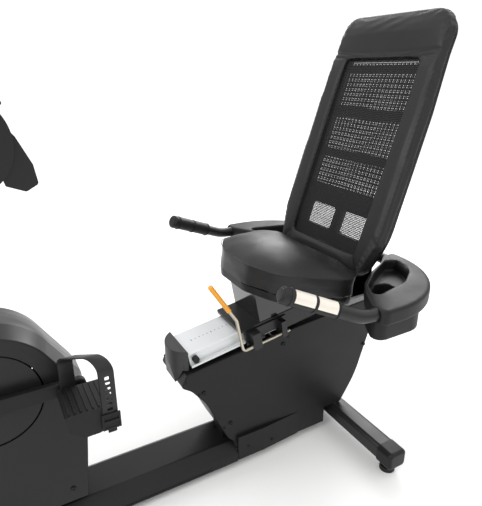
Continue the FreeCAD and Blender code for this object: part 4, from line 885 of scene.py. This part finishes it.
class BIKE_OT_straps(bpy.types.Operator):
    """Makes the pedal straps: a punched band, and the slotted buckle on the pedal's outer side"""
    bl_idname = "bike.straps"
    bl_label = "Pedal straps"

    def execute(self, context):
        strap = self.band()
        buckle = self.buckle()
        other_crank = Matrix.Translation(((CRANK.x - PEDAL.x) * 2, 0, 0))
        for side in ("left", "right"):
            if side == "right":
                strap, buckle = [moved(mirrored(piece, piece.name.replace("left", "right")), other_crank)
                                 for piece in (strap, buckle)]
            finished(strap, f"pedal_{side}", finish("strap"), "strap_rubber", f"strap_{side}")
            finished(buckle, f"pedal_{side}", finish("pedal"), "pedal_plastic")
        return {"FINISHED"}

    def band(self):
        """The strap with its row of slots, and the square hole at the row's end."""
        strap = cad_copy("strap_left", "strap_left_punched")
        for number in range(STRAP_HOLES):
            middle = self.outer_middle(FIRST_HOLE + number * HOLE_PITCH)
            last = number == STRAP_HOLES - 1
            half = Vector((4.6, 9, 4.6) if last else (5.5, 9, 3.4)) * MM
            slot = block("slot", middle - half, middle + half)
            rounded(slot, 2 * MM, 3)
            cut_from(strap, slot)
        return rounded(strap, 0.6 * MM, 2, 40)

    def outer_middle(self, up):
        """The middle of the strap's outer run, so many millimetres up from the strap's lowest point."""
        low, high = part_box("strap_left")
        return Vector((high.x - 15 * MM, low.y + 1.5 * MM, low.z + up * MM))

    def buckle(self):
        """The slotted plate, with its bar and tongue."""
        middle = self.outer_middle(BUCKLE_HEIGHT)
        plate = block("strap_buckle_left", middle + Vector((-19, -5.5, -19)) * MM,
                      middle + Vector((19, -1.6, 19)) * MM)
        sink(plate, towards((0, -1, 0)), 4.5 * MM, 2.2 * MM)
        rounded(plate, 1.4 * MM, 3)
        bar = block("buckle_bar", middle + Vector((-15, -6.5, -3)) * MM, middle + Vector((15, -3, 3)) * MM)
        rounded(bar, 1.2 * MM, 3)
        tongue = block("buckle_tongue", middle + Vector((-9, -5, -27)) * MM,
                       middle + Vector((9, -2, -17)) * MM)
        rounded(tongue, 1.2 * MM, 3)
        return joined("strap_buckle_left", [plate, bar, tongue])


# ---------------------------------------------------------------- small trim

# Millimetres along the rail from its front end; every fifth mark is a long one.
RAIL_MARKS = 36
FIRST_MARK = 34
MARK_PITCH = 12


class BIKE_OT_rail_marks(bpy.types.Operator):
    """Makes the printed position marks along the rail: short raised bars of black ink"""
    bl_idname = "bike.rail_marks"
    bl_label = "Rail marks"

    def execute(self, context):
        mark = block("mark", (-0.8 * MM, -2.2 * MM, 0), (0.8 * MM, 2.2 * MM, 0.25 * MM))
        rounded(mark, 0.12 * MM, 1)
        marks = []
        for number in range(RAIL_MARKS):
            along = (FIRST_MARK + number * MARK_PITCH) * MM
            wide = 2.0 if number % 5 == 0 else 1.0
            place = RAIL @ Matrix.Translation((along, 0, 0.02 * MM)) @ Matrix.Scale(wide, 4, (0, 1, 0))
            marks.append(copied(mark, f"mark_{number}", place))
        bpy.data.objects.remove(mark)
        finished(joined("rail_marks", marks), "root", finish("grip"), "black_rubber")
        return {"FINISHED"}


FAIRING_HALF = 74 * MM
# Millimetres ahead of the rear foot, and up from the floor.
FAIRING_BOLTS = ((227, 366), (478, 290), (398, 160), (-84, 275))
HOUSING_BOLT = (62, 48)


class BIKE_OT_bolts(bpy.types.Operator):
    """Makes the domed socket bolts on the fairing and the drive housing"""
    bl_idname = "bike.bolts"
    bl_label = "Bolts"

    def execute(self, context):
        bolt = turned("bolt", (0, 0, 2 * MM), (0, 0, 1), 6 * MM, 4 * MM, 32)
        rounded(bolt, 1.6 * MM, 4)
        socket = turned("socket", (0, 0, 4 * MM), (0, 0, 1), 3 * MM, 4 * MM, 6)
        cut_from(bolt, socket)
        low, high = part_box("housing_left")
        spots = [(high.x - HOUSING_BOLT[0] * MM, LEFT_FACE, low.z + HOUSING_BOLT[1] * MM)]
        spots += [(FOOT_X - ahead * MM, -FAIRING_HALF, height * MM) for ahead, height in FAIRING_BOLTS]
        places = [((x, y * side, z), (0, -side, 0)) for x, y, z in spots for side in (1, -1)]
        bolts = [copied(bolt, f"bolt_{number}", self.facing(place, way))
                 for number, (place, way) in enumerate(places)]
        bpy.data.objects.remove(bolt)
        finished(joined("cover_bolts", bolts), "root", finish("rubber"), "dark_steel")
        return {"FINISHED"}

    def facing(self, place, way):
        """The placing that stands a piece at a place, looking along way."""
        return Matrix.Translation(place) @ Vector(way).to_track_quat("Z", "Y").to_matrix().to_4x4()


# ---------------------------------------------------------------- stage

CAMERA_PLACE = (FOOT_X - 920.2 * MM, -1059.1 * MM, 1092.6 * MM)
CAMERA_BACK = Vector((-0.4595, -0.8155, 0.3518))
CAMERA_LENS = 34.48
FLOOR_SIZE = 160


class BIKE_OT_stage(bpy.types.Operator):
    """Sets up the studio: paper floor, soft lights, white room and the camera"""
    bl_idname = "bike.stage"
    bl_label = "Stage"

    def execute(self, context):
        scene = context.scene
        deselect()
        bpy.ops.mesh.primitive_plane_add(size=FLOOR_SIZE, location=(0, 0, 0))
        floor = started("studio_floor")
        floor.data.materials.append(finish("paper"))
        self.lamp("overhead", "SUN", (0, -0.3, 4), (0, 0, 0), 2.2)
        self.lamp("rear_softbox", "AREA", (2.6, 2.2, 2.2), (0, 0, 0.6), 60)
        self.lamp("front_softbox", "AREA", (-3.0, -0.6, 2.4), (0, 0, 0.6), 45)
        self.white_room(scene)
        self.camera(scene)
        return {"FINISHED"}

    def lamp(self, name, kind, place, target, power):
        """A wide soft light that looks from a place at a target."""
        deselect()
        bpy.ops.object.light_add(type=kind, location=place)
        lamp = bpy.context.object
        lamp.name = name
        lamp.data.energy = power
        if kind == "SUN":
            lamp.data.angle = math.radians(140)
        else:
            lamp.data.size = 1.8
        lamp.rotation_euler = (Vector(place) - Vector(target)).to_track_quat("Z", "Y").to_euler()

    def white_room(self, scene):
        """A white room that lights the bike less than it shows behind it, as a lit backdrop does."""
        world = bpy.data.worlds.new("white_room")
        world.use_nodes = True
        tree = world.node_tree
        path = add_node(tree, "ShaderNodeLightPath")
        strength = add_node(tree, "ShaderNodeMapRange",
                            {"Value": path.outputs["Is Camera Ray"], "To Min": 0.6, "To Max": 1.1})
        background = tree.nodes["Background"]
        background.inputs["Color"].default_value = (1, 1, 1, 1)
        tree.links.new(strength.outputs["Result"], background.inputs["Strength"])
        scene.world = world
        scene.view_settings.view_transform = "Standard"

    def camera(self, scene):
        deselect()
        bpy.ops.object.camera_add(location=CAMERA_PLACE)
        camera = bpy.context.object
        camera.name = "studio_camera"
        camera.data.lens = CAMERA_LENS
        camera.data.sensor_width = 36
        camera.rotation_euler = CAMERA_BACK.to_track_quat("Z", "Y").to_euler()
        scene.camera = camera


OPERATORS = [BIKE_OT_dress, BIKE_OT_seat_cushion, BIKE_OT_backrest_pad, BIKE_OT_backrest_nets,
             BIKE_OT_cup_holders, BIKE_OT_grip_ends, BIKE_OT_straps, BIKE_OT_rail_marks, BIKE_OT_bolts,
             BIKE_OT_stage]


class BIKE_PT_panel(bpy.types.Panel):
    """Lists the bike's pieces in the order they are made"""
    bl_idname = "BIKE_PT_panel"
    bl_label = "Exercise bike"
    bl_space_type = "VIEW_3D"
    bl_region_type = "UI"
    bl_category = "Bike"

    def draw(self, context):
        for group in (context.scene.bike_sizes, context.scene.bike_colours):
            column = self.layout.column()
            for name in group.__annotations__:
                column.prop(group, name)
        for operator in OPERATORS:
            self.layout.operator(operator.bl_idname)


CLASSES = [BikeColours, BikeSizes, *OPERATORS, BIKE_PT_panel]


def register():
    for item in CLASSES:
        bpy.utils.register_class(item)
    bpy.types.Scene.bike_colours = PointerProperty(type=BikeColours)
    bpy.types.Scene.bike_sizes = PointerProperty(type=BikeSizes)


def unregister():
    del bpy.types.Scene.bike_sizes
    del bpy.types.Scene.bike_colours
    for item in reversed(CLASSES):
        bpy.utils.unregister_class(item)


def main():
    register()
    for operator in OPERATORS:
        group, name = operator.bl_idname.split(".")
        getattr(getattr(bpy.ops, group), name)()


if __name__ == "__main__":
    main()
